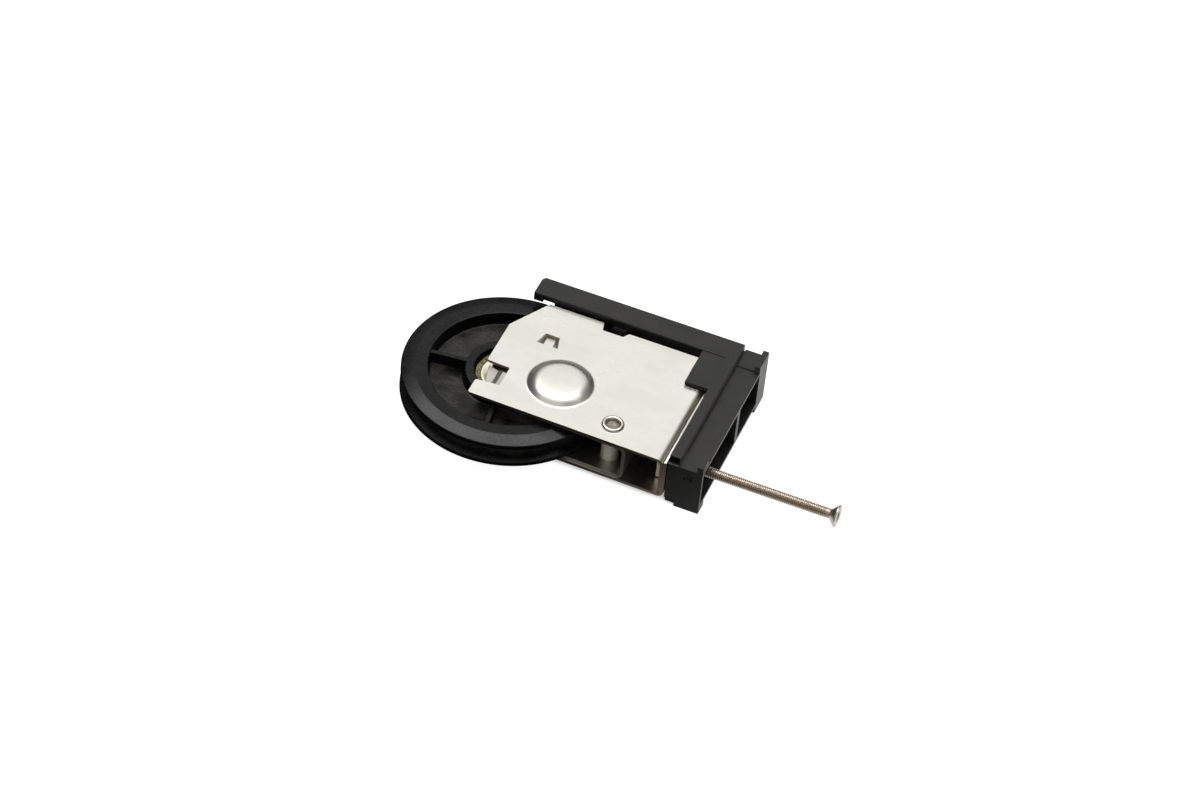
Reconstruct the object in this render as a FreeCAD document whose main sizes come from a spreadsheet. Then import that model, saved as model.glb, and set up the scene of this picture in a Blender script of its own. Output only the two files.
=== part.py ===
import FreeCAD, Part
import math
import os
from types import SimpleNamespace

import Sketcher

# Single-wheel roller for a sliding door, lying on its side.
# The origin is the wheel's centre, Z is the wheel's axis, X runs along the
# housing towards the adjusting screw and Y points to the guide arm.
# Lengths are millimetres and angles are degrees.

SIZES = {
    "wheel_radius": 38.0,
    "wheel_width": 12.0,
    "rim_edge_width": 9.8,
    "face_radius": 33.1,
    "groove_width": 6.4,
    "groove_depth": 4.5,
    "groove_floor": 2.6,
    "recess_radius": 28.4,
    "web_thickness": 1.8,
    "hub_radius": 15.6,
    "hub_width": 10.8,
    "hub_chamfer": 1.0,
    "rib_count": 4,
    "rib_width": 2.0,
    "first_rib_angle": 7.0,
    "bearing_radius": 11.0,
    "bearing_width": 7.0,
    "outer_race_wall": 2.1,
    "inner_race_wall": 2.1,
    "ball_radius": 1.98,
    "ball_count": 7,
    "ball_clearance": 0.05,
    "cage_clearance": 0.12,
    "cage_wall": 1.3,
    "cage_back": 0.5,
    "cage_prong": 0.8,
    "shield_thickness": 0.3,
    "shield_setback": 0.4,
    "shield_lip": 0.6,
    "shield_gap": 0.25,
    "axle_radius": 4.0,
    "axle_dimple_radius": 1.5,
    "axle_dimple_depth": 0.5,
    "spacer_radius": 5.8,
    "steel": 1.2,
    "bend_radius": 1.7,
    "bend_inside": 0.5,
    "plate_half_height": 8.75,
    "plate_left": 7.4,
    "plate_front": 21.1,
    "plate_front_left": 19.7,
    "plate_back": 34.5,
    "plate_back_right": 33.0,
    "chamfer_start": 18.5,
    "chamfer_end": 1.7,
    "plate_corner": 1.0,
    "notch_front": 12.7,
    "notch_back": 1.7,
    "notch_end": 1.4,
    "notch_slant": 0.9,
    "stop_notch_left": 22.8,
    "stop_notch_right": 32.9,
    "stop_notch_floor": 30.6,
    "stop_notch_left_slant": 0.8,
    "stop_notch_right_slant": 1.4,
    "flange_outer_face": 68.6,
    "flange_back": 23.6,
    "flange_trim": 0.6,
    "flange_gap": 0.2,
    "tongue_right": 66.0,
    "dome_x": 20.5,
    "dome_y": 1.5,
    "dome_radius": 12.1,
    "dome_top_radius": 9.2,
    "dome_height": 2.35,
    "dome_round": 0.9,
    "clinch_x": 8.5,
    "clinch_y": 17.2,
    "clinch_side": 5.5,
    "clinch_slope": 1.2,
    "clinch_gap": 0.15,
    "yoke_left": 1.5,
    "yoke_nose": 6.8,
    "yoke_front": 20.5,
    "yoke_back": 24.0,
    "yoke_web": 52.8,
    "rivet_x": 44.65,
    "rivet_y": 12.0,
    "rivet_radius": 3.2,
    "rivet_bore": 2.4,
    "rivet_flange": 4.1,
    "rivet_rise": 0.8,
    "rivet_outer_slope": 0.5,
    "rivet_hollow": 1.5,
    "screw_y": 10.3,
    "screw_radius": 2.0,
    "screw_tip": 59.5,
    "screw_length": 70.0,
    "screw_tip_chamfer": 0.5,
    "screw_head_radius": 4.2,
    "screw_head_edge": 0.5,
    "screw_neck_radius": 1.75,
    "screw_neck_length": 1.6,
    "recess_span": 4.4,
    "recess_blade": 0.95,
    "recess_depth": 1.7,
    "thread_clearance": 0.1,
    "nut_width": 7.0,
    "nut_thickness": 3.2,
    "nut_side_clearance": 0.5,
    "nut_seat_gap": 0.1,
    "web_hole_radius": 2.5,
    "pivot_x": 62.5,
    "pivot_y": 27.0,
    "pivot_radius": 3.0,
    "pivot_clearance": 0.1,
    "slide_clearance": 0.2,
    "frame_half_height": 11.1,
    "frame_wall": 2.2,
    "arm_left": 5.0,
    "arm_front": 35.5,
    "arm_back": 44.7,
    "arm_back_wall": 1.2,
    "arm_wall_start": 0.4,
    "nib_length": 3.5,
    "nib_drop": 1.3,
    "lug_left": 26.0,
    "lug_right": 31.0,
    "lug_tip": 33.4,
    "lug_root": 2.6,
    "lug_drop": 1.9,
    "lug_sink": 1.4,
    "tab_length": 9.0,
    "tab_front": 18.0,
    "tab_thickness": 1.5,
    "end_gap": 0.4,
    "block_length": 13.0,
    "block_front": 20.8,
    "block_back": 44.6,
    "block_half_height": 8.4,
    "block_wall": 1.2,
    "block_front_wall": 1.2,
    "block_base": 2.0,
    "block_back_wall": 8.6,
    "block_rib_front": 14.0,
    "block_rib_back": 16.6,
    "strip_width": 3.8,
    "strip_front": 19.4,
    "pad_front": 35.5,
    "pad_width": 2.2,
    "front_pad_length": 5.2,
    "corner_rise": 0.4,
    "groove_line": 0.5,
    "boss_radius": 4.4,
    "boss_setback": 3.2,
    "boss_web": 1.4,
    "screw_hole_radius": 2.2,
    "dimple_inset": 5.5,
    "dimple_z": 4.5,
    "dimple_radius": 1.9,
    "dimple_depth": 0.6,
    "frame_round": 0.6,
}


class Size:
    """A size's present value, with the expression on the sheet that gives it."""

    def __init__(self, text, value):
        self.text = text
        self.value = value

    def join(self, other, sign, value, swapped=False):
        """Writes the expression of this size and another size or number."""
        mine, theirs = self.text, other.text if isinstance(other, Size) else repr(float(other))
        first, second = (theirs, mine) if swapped else (mine, theirs)
        return Size(f"({first} {sign} {second})", value)

    def __add__(self, other):
        return self.join(other, "+", self.value + number(other))

    def __sub__(self, other):
        return self.join(other, "-", self.value - number(other))

    def __rsub__(self, other):
        return self.join(other, "-", number(other) - self.value, swapped=True)

    def __mul__(self, other):
        return self.join(other, "*", self.value * number(other))

    def __truediv__(self, other):
        return self.join(other, "/", self.value / number(other))

    def __neg__(self):
        return self * -1

    __radd__ = __add__
    __rmul__ = __mul__


def number(size):
    """The value of a size, or of a plain number."""
    return size.value if isinstance(size, Size) else float(size)


def expression(size):
    """The sheet expression of a size, or of a plain number."""
    return size.text if isinstance(size, Size) else repr(float(size))


ZERO = Size("0", 0.0)
BALL_SIDES = 8


def make_sheet(doc):
    """Writes the driving sizes to the sheet, each in a cell with its own alias."""
    sheet = doc.addObject("Spreadsheet::Sheet", "Sizes")
    for row, (alias, value) in enumerate(SIZES.items(), start=1):
        sheet.set(f"A{row}", alias)
        sheet.set(f"B{row}", str(value))
        sheet.setAlias(f"B{row}", alias)
    doc.recompute()
    return SimpleNamespace(**{name: Size(f"Sizes.{name}", value) for name, value in SIZES.items()})


# Sketches and features

def bind(item, prop, size):
    """Ties a property of an object to the sheet."""
    item.setExpression(prop, expression(size))


def new_body(doc, name):
    """A PartDesign body whose label is the name of its node."""
    body = doc.addObject("PartDesign::Body", name)
    body.Label = name
    return body


def new_sketch(body, role, offset):
    """A sketch on one of the body's own origin planes, moved along its normal."""
    plane = next(item for item in body.Origin.OriginFeatures if item.Role == role)
    sketch = body.newObject("Sketcher::SketchObject", "Sketch")
    sketch.AttachmentSupport = [(plane, "")]
    sketch.MapMode = "FlatFace"
    bind(sketch, ".AttachmentOffset.Base.z", offset)
    return sketch


def dimension(sketch, kind, *arguments):
    """Adds a driving dimension to a sketch and ties it to the sheet."""
    *where, size = arguments
    index = sketch.addConstraint(Sketcher.Constraint(kind, *where, number(size)))
    sketch.setExpression(f"Constraints[{index}]", expression(size))


def pin(sketch, element, vertex, point):
    """Fixes a point of the sketch by its two distances from the origin."""
    dimension(sketch, "DistanceX", -1, 1, element, vertex, point[0])
    dimension(sketch, "DistanceY", -1, 1, element, vertex, point[1])


def add_outline(sketch, points):
    """Draws a closed outline of straight lines, with every corner pinned."""
    first = sketch.GeometryCount
    count = len(points)
    corners = [FreeCAD.Vector(number(x), number(y), 0) for x, y in points]
    for index in range(count):
        sketch.addGeometry(Part.LineSegment(corners[index], corners[(index + 1) % count]), False)
    for index in range(count):
        following = first + (index + 1) % count
        sketch.addConstraint(Sketcher.Constraint("Coincident", first + index, 2, following, 1))
    for index, point in enumerate(points):
        pin(sketch, first + index, 1, point)


def add_circle(sketch, centre, radius):
    """Draws a circle with its centre pinned and its radius given."""
    middle = FreeCAD.Vector(number(centre[0]), number(centre[1]), 0)
    upright = FreeCAD.Vector(0, 0, 1)
    index = sketch.addGeometry(Part.Circle(middle, upright, number(radius)), False)
    pin(sketch, index, 3, centre)
    dimension(sketch, "Radius", index, radius)


def rectangle(left, low, right, high):
    """The four corners of a rectangle."""
    return [(left, low), (right, low), (right, high), (left, high)]


def pad(body, outlines, low, high, role="XY_Plane", circles=()):
    """Adds a slab between two heights along the plane's normal."""
    sketch = new_sketch(body, role, low)
    for outline in outlines:
        add_outline(sketch, outline)
    for centre, radius in circles:
        add_circle(sketch, centre, radius)
    feature = body.newObject("PartDesign::Pad", "Pad")
    feature.Profile = sketch
    bind(feature, "Length", high - low)
    return feature


def pocket(body, outlines, low, high, role="XY_Plane", circles=()):
    """Cuts a slab out between two heights along the plane's normal."""
    sketch = new_sketch(body, role, high)
    for outline in outlines:
        add_outline(sketch, outline)
    for centre, radius in circles:
        add_circle(sketch, centre, radius)
    feature = body.newObject("PartDesign::Pocket", "Pocket")
    feature.Profile = sketch
    bind(feature, "Length", high - low)
    return feature


def revolve(body, outline, along="V_Axis", role="XZ_Plane", centre=None):
    """Turns an outline about one axis of its sketch."""
    offset = -centre[1] if centre else ZERO
    sketch = new_sketch(body, role, offset)
    if centre:
        bind(sketch, ".AttachmentOffset.Base.x", centre[0])
    add_outline(sketch, outline)
    feature = body.newObject("PartDesign::Revolution", "Revolution")
    feature.Profile = sketch
    feature.ReferenceAxis = (sketch, [along])
    feature.Angle = 360.0
    return feature


def edges_where(feature, test):
    """The names of the edges whose centre and length pass a test."""
    edges = feature.Shape.Edges
    return [f"Edge{i}" for i, edge in enumerate(edges, start=1) if test(edge)]


def dress(doc, body, kind, size, test):
    """Rounds or chamfers the edges that pass a test, on the body's last feature."""
    doc.recompute()
    base = body.Tip
    feature = body.newObject(f"PartDesign::{kind}", kind)
    feature.Base = (base, edges_where(base, test))
    bind(feature, "Radius" if kind == "Fillet" else "Size", size)
    return feature


def near(first, second, reach=0.01):
    """Whether two lengths agree."""
    return abs(first - number(second)) < reach


def place(body, x=ZERO, y=ZERO, z=ZERO):
    """Ties the body's place to the sheet."""
    bind(body, ".Placement.Base.x", x)
    bind(body, ".Placement.Base.y", y)
    bind(body, ".Placement.Base.z", z)


# The wheel and its bearing

def make_wheel(doc, s):
    """The moulded wheel: grooved rim, thin web, four ribs and a hub."""
    body = new_body(doc, "wheel")
    face, edge = s.wheel_width / 2, s.rim_edge_width / 2
    mouth, floor = s.groove_width / 2, s.groove_floor / 2
    web, hub = s.web_thickness / 2, s.hub_width / 2
    half = [
        (s.bearing_radius, hub - s.hub_chamfer),
        (s.bearing_radius + s.hub_chamfer, hub),
        (s.hub_radius, hub),
        (s.hub_radius, web),
        (s.recess_radius, web),
        (s.recess_radius, face),
        (s.face_radius, face),
        (s.wheel_radius, edge),
        (s.wheel_radius, mouth),
        (s.wheel_radius - s.groove_depth, floor),
    ]
    mirrored = [(radius, -height) for radius, height in reversed(half)]
    revolve(body, half + mirrored)
    root = s.rib_width / 2
    rib = pad(
        body,
        [rectangle(s.hub_radius - root, -s.rib_width / 2, s.recess_radius + root, s.rib_width / 2)],
        -hub, hub,
    )
    repeat(body, rib, rib.Profile[0], s.rib_count)
    body.Placement.Rotation = FreeCAD.Rotation(FreeCAD.Vector(0, 0, 1), 0)
    bind(body, ".Placement.Rotation.Angle", s.first_rib_angle)
    return body


def make_races(doc, s):
    """The two rings of the bearing, each with its ball groove."""
    half = s.bearing_width / 2
    pitch = (s.bearing_radius + s.axle_radius) / 2
    groove = s.ball_radius + s.ball_clearance
    seat = half - s.shield_setback - s.shield_thickness
    outer = new_body(doc, "bearing_outer_race")
    shoulder = s.bearing_radius - s.outer_race_wall
    step = shoulder + s.shield_lip
    upper = [
        (s.bearing_radius, half),
        (step, half),
        (step, seat),
        (shoulder, seat),
    ]
    revolve(outer, upper + [(radius, -height) for radius, height in reversed(upper)])
    cut_groove(outer, pitch, groove)
    inner = new_body(doc, "bearing_inner_race")
    rim = s.axle_radius + s.inner_race_wall
    upper = [(s.axle_radius, half), (rim, half)]
    revolve(inner, upper + [(radius, -height) for radius, height in reversed(upper)])
    cut_groove(inner, pitch, groove)
    return [outer, inner]


def cut_groove(body, pitch, groove):
    """Cuts the ball groove, a ring whose eight-sided section clears the balls."""
    sketch = new_sketch(body, "XZ_Plane", ZERO)
    corner = groove / math.cos(math.radians(22.5))
    turns = [math.radians(22.5 + 45 * index) for index in range(8)]
    add_outline(sketch, [(pitch + corner * math.cos(turn), corner * math.sin(turn)) for turn in turns])
    feature = body.newObject("PartDesign::Groove", "Groove")
    feature.Profile = sketch
    feature.ReferenceAxis = (sketch, ["V_Axis"])
    feature.Angle = 360.0


def repeat(body, feature, sketch, count):
    """Repeats a feature evenly round the normal of a sketch at the origin."""
    pattern = body.newObject("PartDesign::PolarPattern", "PolarPattern")
    pattern.Originals = [feature]
    pattern.Axis = (sketch, ["N_Axis"])
    pattern.Angle = 360.0
    bind(pattern, "Occurrences", count)
    body.Tip = pattern


def make_balls(doc, s):
    """The ring of balls: separate solids, each lofted through four flat-sided sections."""
    body = new_body(doc, "bearing_balls")
    pitch = (s.bearing_radius + s.axle_radius) / 2
    step = math.tau / BALL_SIDES
    turns = [step * (index + 0.5) for index in range(BALL_SIDES)]
    sections = []
    for tilt in (-1.5 * step, -0.5 * step, 0.5 * step, 1.5 * step):
        sketch = new_sketch(body, "XY_Plane", s.ball_radius * math.sin(tilt))
        reach = s.ball_radius * math.cos(tilt)
        add_outline(sketch, [(pitch + reach * math.cos(turn), reach * math.sin(turn)) for turn in turns])
        sections.append(sketch)
    ball = body.newObject("PartDesign::AdditiveLoft", "AdditiveLoft")
    ball.Profile = sections[0]
    ball.Sections = sections[1:]
    ball.Ruled = True
    repeat(body, ball, new_sketch(body, "XY_Plane", ZERO), s.ball_count)
    return body


def make_cage(doc, s):
    """The crown cage: a closed ring with an open round pocket for each ball."""
    body = new_body(doc, "bearing_cage")
    pitch = (s.bearing_radius + s.axle_radius) / 2
    hold = s.ball_radius + s.cage_clearance
    inner, outer = pitch - s.cage_wall / 2, pitch + s.cage_wall / 2
    ring = pad(body, [], -(hold + s.cage_back), s.cage_prong,
               circles=[((ZERO, ZERO), outer), ((ZERO, ZERO), inner)])
    hole = pocket(body, [], inner - s.cage_wall, outer + s.cage_wall, role="YZ_Plane",
                  circles=[((ZERO, ZERO), hold)])
    repeat(body, hole, ring.Profile[0], s.ball_count)
    return body


def make_shields(doc, s):
    """The two thin shields, pressed into steps of the outer race."""
    half = s.bearing_width / 2
    top = half - s.shield_setback
    outer = s.bearing_radius - s.outer_race_wall + s.shield_lip
    inner = s.axle_radius + s.inner_race_wall + s.shield_gap
    shields = []
    for name, low in (("bearing_shield_upper", top - s.shield_thickness),
                      ("bearing_shield_lower", -top)):
        body = new_body(doc, name)
        pad(body, [], low, low + s.shield_thickness,
            circles=[((ZERO, ZERO), outer), ((ZERO, ZERO), inner)])
        shields.append(body)
    return shields


def make_axle(doc, s):
    """The axle, its ends flush with the yoke, and the two spacers on it."""
    reach = s.plate_half_height - s.steel
    axle = new_body(doc, "axle")
    upper = [
        (s.axle_radius, reach),
        (s.axle_dimple_radius, reach),
        (ZERO, reach - s.axle_dimple_depth),
    ]
    lower = [(radius, -height) for radius, height in reversed(upper)]
    revolve(axle, upper + lower)
    pieces = [axle]
    inside = reach - s.steel
    for name, low, high in (("axle_spacer_upper", s.bearing_width / 2, inside),
                            ("axle_spacer_lower", -inside, -s.bearing_width / 2)):
        body = new_body(doc, name)
        pad(body, [], low, high,
            circles=[((ZERO, ZERO), s.spacer_radius), ((ZERO, ZERO), s.axle_radius)])
        pieces.append(body)
    return pieces


# The steel box

def plate_outline(s, right):
    """The outline of a side plate, from its front left corner, anticlockwise."""
    return [
        (-s.plate_left, -s.plate_front_left),
        (right, -s.plate_front),
        (right, s.flange_back),
        (s.tongue_right, s.flange_back),
        (s.tongue_right, s.plate_back_right),
        (s.stop_notch_right, s.plate_back_right),
        (s.stop_notch_right - s.stop_notch_right_slant, s.stop_notch_floor),
        (s.stop_notch_left + s.stop_notch_left_slant, s.stop_notch_floor),
        (s.stop_notch_left, s.plate_back),
        (s.chamfer_end, s.plate_back),
        (-s.plate_left, s.chamfer_start),
        (-s.plate_left, -s.notch_back),
        (s.notch_end, -s.notch_back - s.notch_slant / 2),
        (s.notch_end, -s.notch_front + s.notch_slant),
        (-s.plate_left, -s.notch_front),
    ]


def make_side_plate(doc, s, side):
    """One side plate with its dome, clinch and end flange; side is 1 or -1."""
    body = new_body(doc, "upper_side_plate" if side > 0 else "lower_side_plate")
    outside = s.plate_half_height
    inside = outside - s.steel
    right = s.flange_outer_face - s.steel if side > 0 else s.flange_outer_face
    low, high = (inside, outside) if side > 0 else (-outside, -inside)
    half = s.clinch_side / 2
    window = rectangle(s.clinch_x - half, s.clinch_y - half, s.clinch_x + half, s.clinch_y + half)
    dome = (s.dome_x, -s.dome_y)
    pivot = (s.pivot_x, s.pivot_y)
    rivet = (s.rivet_x, -s.rivet_y)
    pad(body, [plate_outline(s, right), window], low, high, circles=[
        (dome, s.dome_radius),
        (pivot, s.pivot_radius + s.pivot_clearance),
        (rivet, s.rivet_radius),
    ])

    def height(value):
        return value if side > 0 else -value

    rise = outside + s.dome_height
    shell = [
        (ZERO, height(rise - s.steel)),
        (s.dome_top_radius - s.dome_round, height(rise - s.steel)),
        (s.dome_radius - s.steel / 2, height(inside)),
        (s.dome_radius, height(inside)),
        (s.dome_radius, height(outside)),
        (s.dome_top_radius, height(rise - s.dome_round / 3)),
        (s.dome_top_radius - s.dome_round, height(rise)),
        (ZERO, height(rise)),
    ]
    revolve(body, shell, centre=dome)

    slope = s.clinch_slope
    strap = [
        (s.clinch_x - half, height(outside)),
        (s.clinch_x - half, height(inside)),
        (s.clinch_x - half + slope / 2, height(inside - s.steel)),
        (s.clinch_x + half - slope / 2, height(inside - s.steel)),
        (s.clinch_x + half, height(inside)),
        (s.clinch_x + half, height(outside)),
        (s.clinch_x + half - slope, height(inside)),
        (s.clinch_x - half + slope, height(inside)),
    ]
    pad(body, [strap], -(s.clinch_y + half - s.clinch_gap), -(s.clinch_y - half + s.clinch_gap),
        role="XZ_Plane")

    end = inside - s.bend_inside - s.flange_gap if side > 0 else outside - s.flange_trim
    bottom, top = (-end, outside) if side > 0 else (-outside, end)
    flange = rectangle(right - s.steel, -s.plate_front, right, s.flange_back)
    pad(body, [flange], bottom, top)
    pocket(body, [], right - s.steel, right, role="YZ_Plane",
           circles=[((-s.screw_y, ZERO), s.web_hole_radius)])

    def outer_bend(edge):
        middle = edge.CenterOfMass
        return near(middle.x, right) and near(abs(middle.z), outside) and edge.Length > 20

    def inner_bend(edge):
        middle = edge.CenterOfMass
        return near(middle.x, right - s.steel) and near(abs(middle.z), inside) and edge.Length > 20

    dress(doc, body, "Fillet", s.bend_radius, outer_bend)
    dress(doc, body, "Fillet", s.bend_inside, inner_bend)
    dress(doc, body, "Fillet", s.plate_corner, lambda edge: is_plate_corner(edge, s))
    return body


def is_plate_corner(edge, s):
    """Whether an edge is one of the plate's upright free corners at its left end."""
    middle = edge.CenterOfMass
    if not near(edge.Length, s.steel):
        return False
    corners = (
        (-s.plate_left, -s.plate_front_left),
        (-s.plate_left, s.chamfer_start),
        (-s.plate_left, -s.notch_front),
        (-s.plate_left, -s.notch_back),
        (s.chamfer_end, s.plate_back),
    )
    return any(near(middle.x, x) and near(middle.y, y) for x, y in corners)


def make_yoke(doc, s):
    """The inner yoke: two legs round the wheel, joined by a web."""
    body = new_body(doc, "wheel_yoke")
    outside = s.plate_half_height - s.steel
    inside = outside - s.steel
    half = s.clinch_side / 2 + s.clinch_gap
    leg = rectangle(-s.yoke_left, -s.yoke_front, s.yoke_web, s.yoke_back)
    window = rectangle(s.clinch_x - half, s.clinch_y - half, s.clinch_x + half, s.clinch_y + half)
    for low in (inside, -outside):
        pad(body, [leg], low, low + s.steel)
        pad(body, [], low, low + s.steel, circles=[((ZERO, ZERO), s.yoke_nose)])
        if low is inside:
            pad(body, [rectangle(s.yoke_web - s.steel, -s.yoke_front, s.yoke_web, s.yoke_back)],
                -outside, outside)
    for high in (outside, -inside):
        pocket(body, [window], high - s.steel, high, circles=[
            ((ZERO, ZERO), s.axle_radius),
            ((s.rivet_x, -s.rivet_y), s.rivet_radius),
        ])

    def outer_bend(edge):
        middle = edge.CenterOfMass
        return near(middle.x, s.yoke_web) and near(abs(middle.z), outside) and edge.Length > 20

    def inner_bend(edge):
        middle = edge.CenterOfMass
        return near(middle.x, s.yoke_web - s.steel) and near(abs(middle.z), inside) and edge.Length > 20

    dress(doc, body, "Fillet", s.bend_radius, outer_bend)
    dress(doc, body, "Fillet", s.bend_inside, inner_bend)
    return body


def make_rivet(doc, s):
    """The rivet with its rolled rims and shallow hollow ends."""
    body = new_body(doc, "tubular_rivet")
    seat = s.plate_half_height
    crown = seat + s.rivet_rise
    floor = crown - s.rivet_hollow
    upper = [
        (ZERO, floor),
        (s.rivet_bore, floor),
        (s.rivet_bore, crown),
        (s.rivet_flange - s.rivet_outer_slope, crown),
        (s.rivet_flange, seat),
        (s.rivet_radius, seat),
    ]
    revolve(body, upper + [(radius, -height) for radius, height in reversed(upper)])
    place(body, s.rivet_x, -s.rivet_y)
    return body


# The adjustment

def make_screw(doc, s):
    """The countersunk adjusting screw, along X, with a cross recess."""
    body = new_body(doc, "adjusting_screw")
    end = s.screw_tip + s.screw_length
    cone = s.screw_head_radius - s.screw_neck_radius
    neck = end - s.screw_head_edge - cone
    outline = [
        (s.screw_tip, ZERO),
        (s.screw_tip, s.screw_radius - s.screw_tip_chamfer),
        (s.screw_tip + s.screw_tip_chamfer, s.screw_radius),
        (neck - s.screw_neck_length, s.screw_radius),
        (neck - s.screw_neck_length, s.screw_neck_radius),
        (neck, s.screw_neck_radius),
        (end - s.screw_head_edge, s.screw_head_radius),
        (end, s.screw_head_radius),
        (end, ZERO),
    ]
    revolve(body, outline, along="H_Axis", role="XY_Plane")
    arm, blade = s.recess_span / 2, s.recess_blade / 2
    cross = [
        (-arm, -blade), (-blade, -blade), (-blade, -arm), (blade, -arm),
        (blade, -blade), (arm, -blade), (arm, blade), (blade, blade),
        (blade, arm), (-blade, arm), (-blade, blade), (-arm, blade),
    ]
    pocket(body, [cross], end - s.recess_depth, end, role="YZ_Plane")
    place(body, y=-s.screw_y)
    return body


def make_nut(doc, s):
    """The bar nut, whose ends lie beside the two plates so that it can't turn."""
    body = new_body(doc, "adjusting_nut")
    right = s.flange_outer_face - s.steel * 2 - s.nut_seat_gap
    reach = s.plate_half_height - s.steel - s.nut_side_clearance
    half = s.nut_width / 2
    pad(body, [rectangle(-half, -reach, half, reach)], right - s.nut_thickness, right,
        role="YZ_Plane", circles=[((ZERO, ZERO), s.screw_radius + s.thread_clearance)])
    place(body, y=-s.screw_y)
    return body


# The moulded frame

def make_frame(doc, s):
    """The guide frame: an end block, a channel arm and two corner tabs."""
    body = new_body(doc, "guide_frame")
    left, right = block_ends(s)
    strip = left + s.strip_width
    full = s.frame_half_height
    inner = full - s.frame_wall
    block = s.block_half_height
    pad(body, [rectangle(left, -s.block_front, right, s.block_back)], -block, block)
    pad(body, [rectangle(left, -s.strip_front, strip, s.block_back)], -full, full)
    pad(body, [rectangle(-s.arm_left, s.arm_front, strip, s.arm_back)], -full, full)
    corner = block + s.corner_rise
    pad(body, [rectangle(strip, s.pad_front, right, s.block_back)], -corner, corner)
    front_pad = rectangle(right - s.pad_width, -s.block_front, right, s.front_pad_length - s.block_front)
    rear_pad = rectangle(right - s.pad_width, s.pad_front, right, s.block_back)
    pad(body, [front_pad, rear_pad], -full, full)
    for low, high in ((block - s.groove_line, corner), (-corner, s.groove_line - block)):
        pocket(body, [rectangle(strip, -s.block_front, strip + s.groove_line, s.block_back)], low, high)
    foot = rectangle(strip, -s.block_front, right, s.front_pad_length - s.block_front)
    pad(body, [foot], -full, s.groove_line - block)
    hollow_arm(body, s, inner)
    hollow_block(body, s, block)
    for side in (1, -1):
        add_side_details(body, s, side, inner)
    add_screw_boss(body, s)

    def outer_arm_edge(edge):
        middle = edge.CenterOfMass
        on_face = near(middle.y, s.arm_front) or near(middle.y, s.arm_back)
        return on_face and near(abs(middle.z), full) and edge.Length > 40

    dress(doc, body, "Fillet", s.frame_round, outer_arm_edge)
    return body


def block_ends(s):
    """The block's two end faces along X, the left one just clear of the steel box."""
    left = s.flange_outer_face + s.end_gap
    return left, left + s.block_length


def hollow_arm(body, s, inner):
    """Cuts the channel in the arm, which is open at its left end."""
    wall = s.arm_back - s.arm_back_wall
    left = block_ends(s)[0]
    pocket(body, [rectangle(-s.arm_left, s.arm_front, left, wall)], -inner, inner)
    pocket(body, [rectangle(-s.arm_left, wall, s.arm_wall_start, s.arm_back)], -inner, inner)


def hollow_block(body, s, block):
    """Cuts the two pockets that open on the end face of the block."""
    high = block - s.block_wall
    left, right = block_ends(s)
    front = rectangle(-s.block_front + s.block_front_wall, -high, s.block_rib_front, high)
    rear = rectangle(s.block_rib_back, -high, s.block_back - s.block_back_wall, high)
    pocket(body, [front, rear], left + s.block_base, right, role="YZ_Plane")


def add_side_details(body, s, side, inner):
    """Adds the tab, pivot boss, stop lug and nib of one side."""
    seat = s.plate_half_height + s.slide_clearance
    left = block_ends(s)[0]
    tab = rectangle(left - s.tab_length, s.tab_front, left, s.arm_front)
    slab(body, [tab], side, seat, seat + s.tab_thickness)
    slab(body, [], side, s.plate_half_height - s.steel, seat,
         circles=[((s.pivot_x, s.pivot_y), s.pivot_radius)])
    root = rectangle(s.lug_left, s.arm_front, s.lug_right, s.arm_front + s.lug_root)
    slab(body, [root], side, inner - s.lug_drop, inner)
    lug = rectangle(s.lug_left, s.lug_tip, s.lug_right, s.arm_front)
    slab(body, [lug], side, inner - s.lug_drop, inner - s.lug_sink)
    nib = rectangle(-s.arm_left, s.arm_front, -s.arm_left + s.nib_length, s.arm_back)
    slab(body, [nib], side, inner - s.nib_drop, inner)


def slab(body, outlines, side, near_height, far_height, circles=()):
    """Pads between two heights above the middle plane, or below it."""
    if side > 0:
        pad(body, outlines, near_height, far_height, circles=circles)
    else:
        pad(body, outlines, -far_height, -near_height, circles=circles)


def add_screw_boss(body, s):
    """Adds the boss for the screw in the front pocket, its hole and the dimple."""
    centre = (-s.screw_y, ZERO)
    start, right = block_ends(s)
    end = right - s.boss_setback
    high = s.block_half_height
    pad(body, [], start, end, role="YZ_Plane", circles=[(centre, s.boss_radius)])
    web = rectangle(-s.screw_y - s.boss_web / 2, -high, -s.screw_y + s.boss_web / 2, high)
    pad(body, [web], start, end, role="YZ_Plane")
    pocket(body, [], start, end, role="YZ_Plane", circles=[(centre, s.screw_hole_radius)])
    front = s.block_front
    pocket(body, [], front - s.dimple_depth, front, role="XZ_Plane",
           circles=[((right - s.dimple_inset, s.dimple_z), s.dimple_radius)])


# Building and checking

def check(doc, pieces):
    """Stops the build if an object failed, a cut cut nothing or a shape is bad."""
    for item in doc.Objects:
        bad = [state for state in item.State if state in ("Invalid", "Error")]
        if bad:
            raise RuntimeError(f"{item.Label} is {bad[0]}: {item.getStatusString()}")
    for piece in pieces:
        if piece.Shape.isNull() or not piece.Shape.isValid() or not piece.Shape.Solids:
            raise RuntimeError(f"{piece.Label} has no valid shape")
        if piece.isDerivedFrom("PartDesign::Body"):
            check_features(piece)


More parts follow.
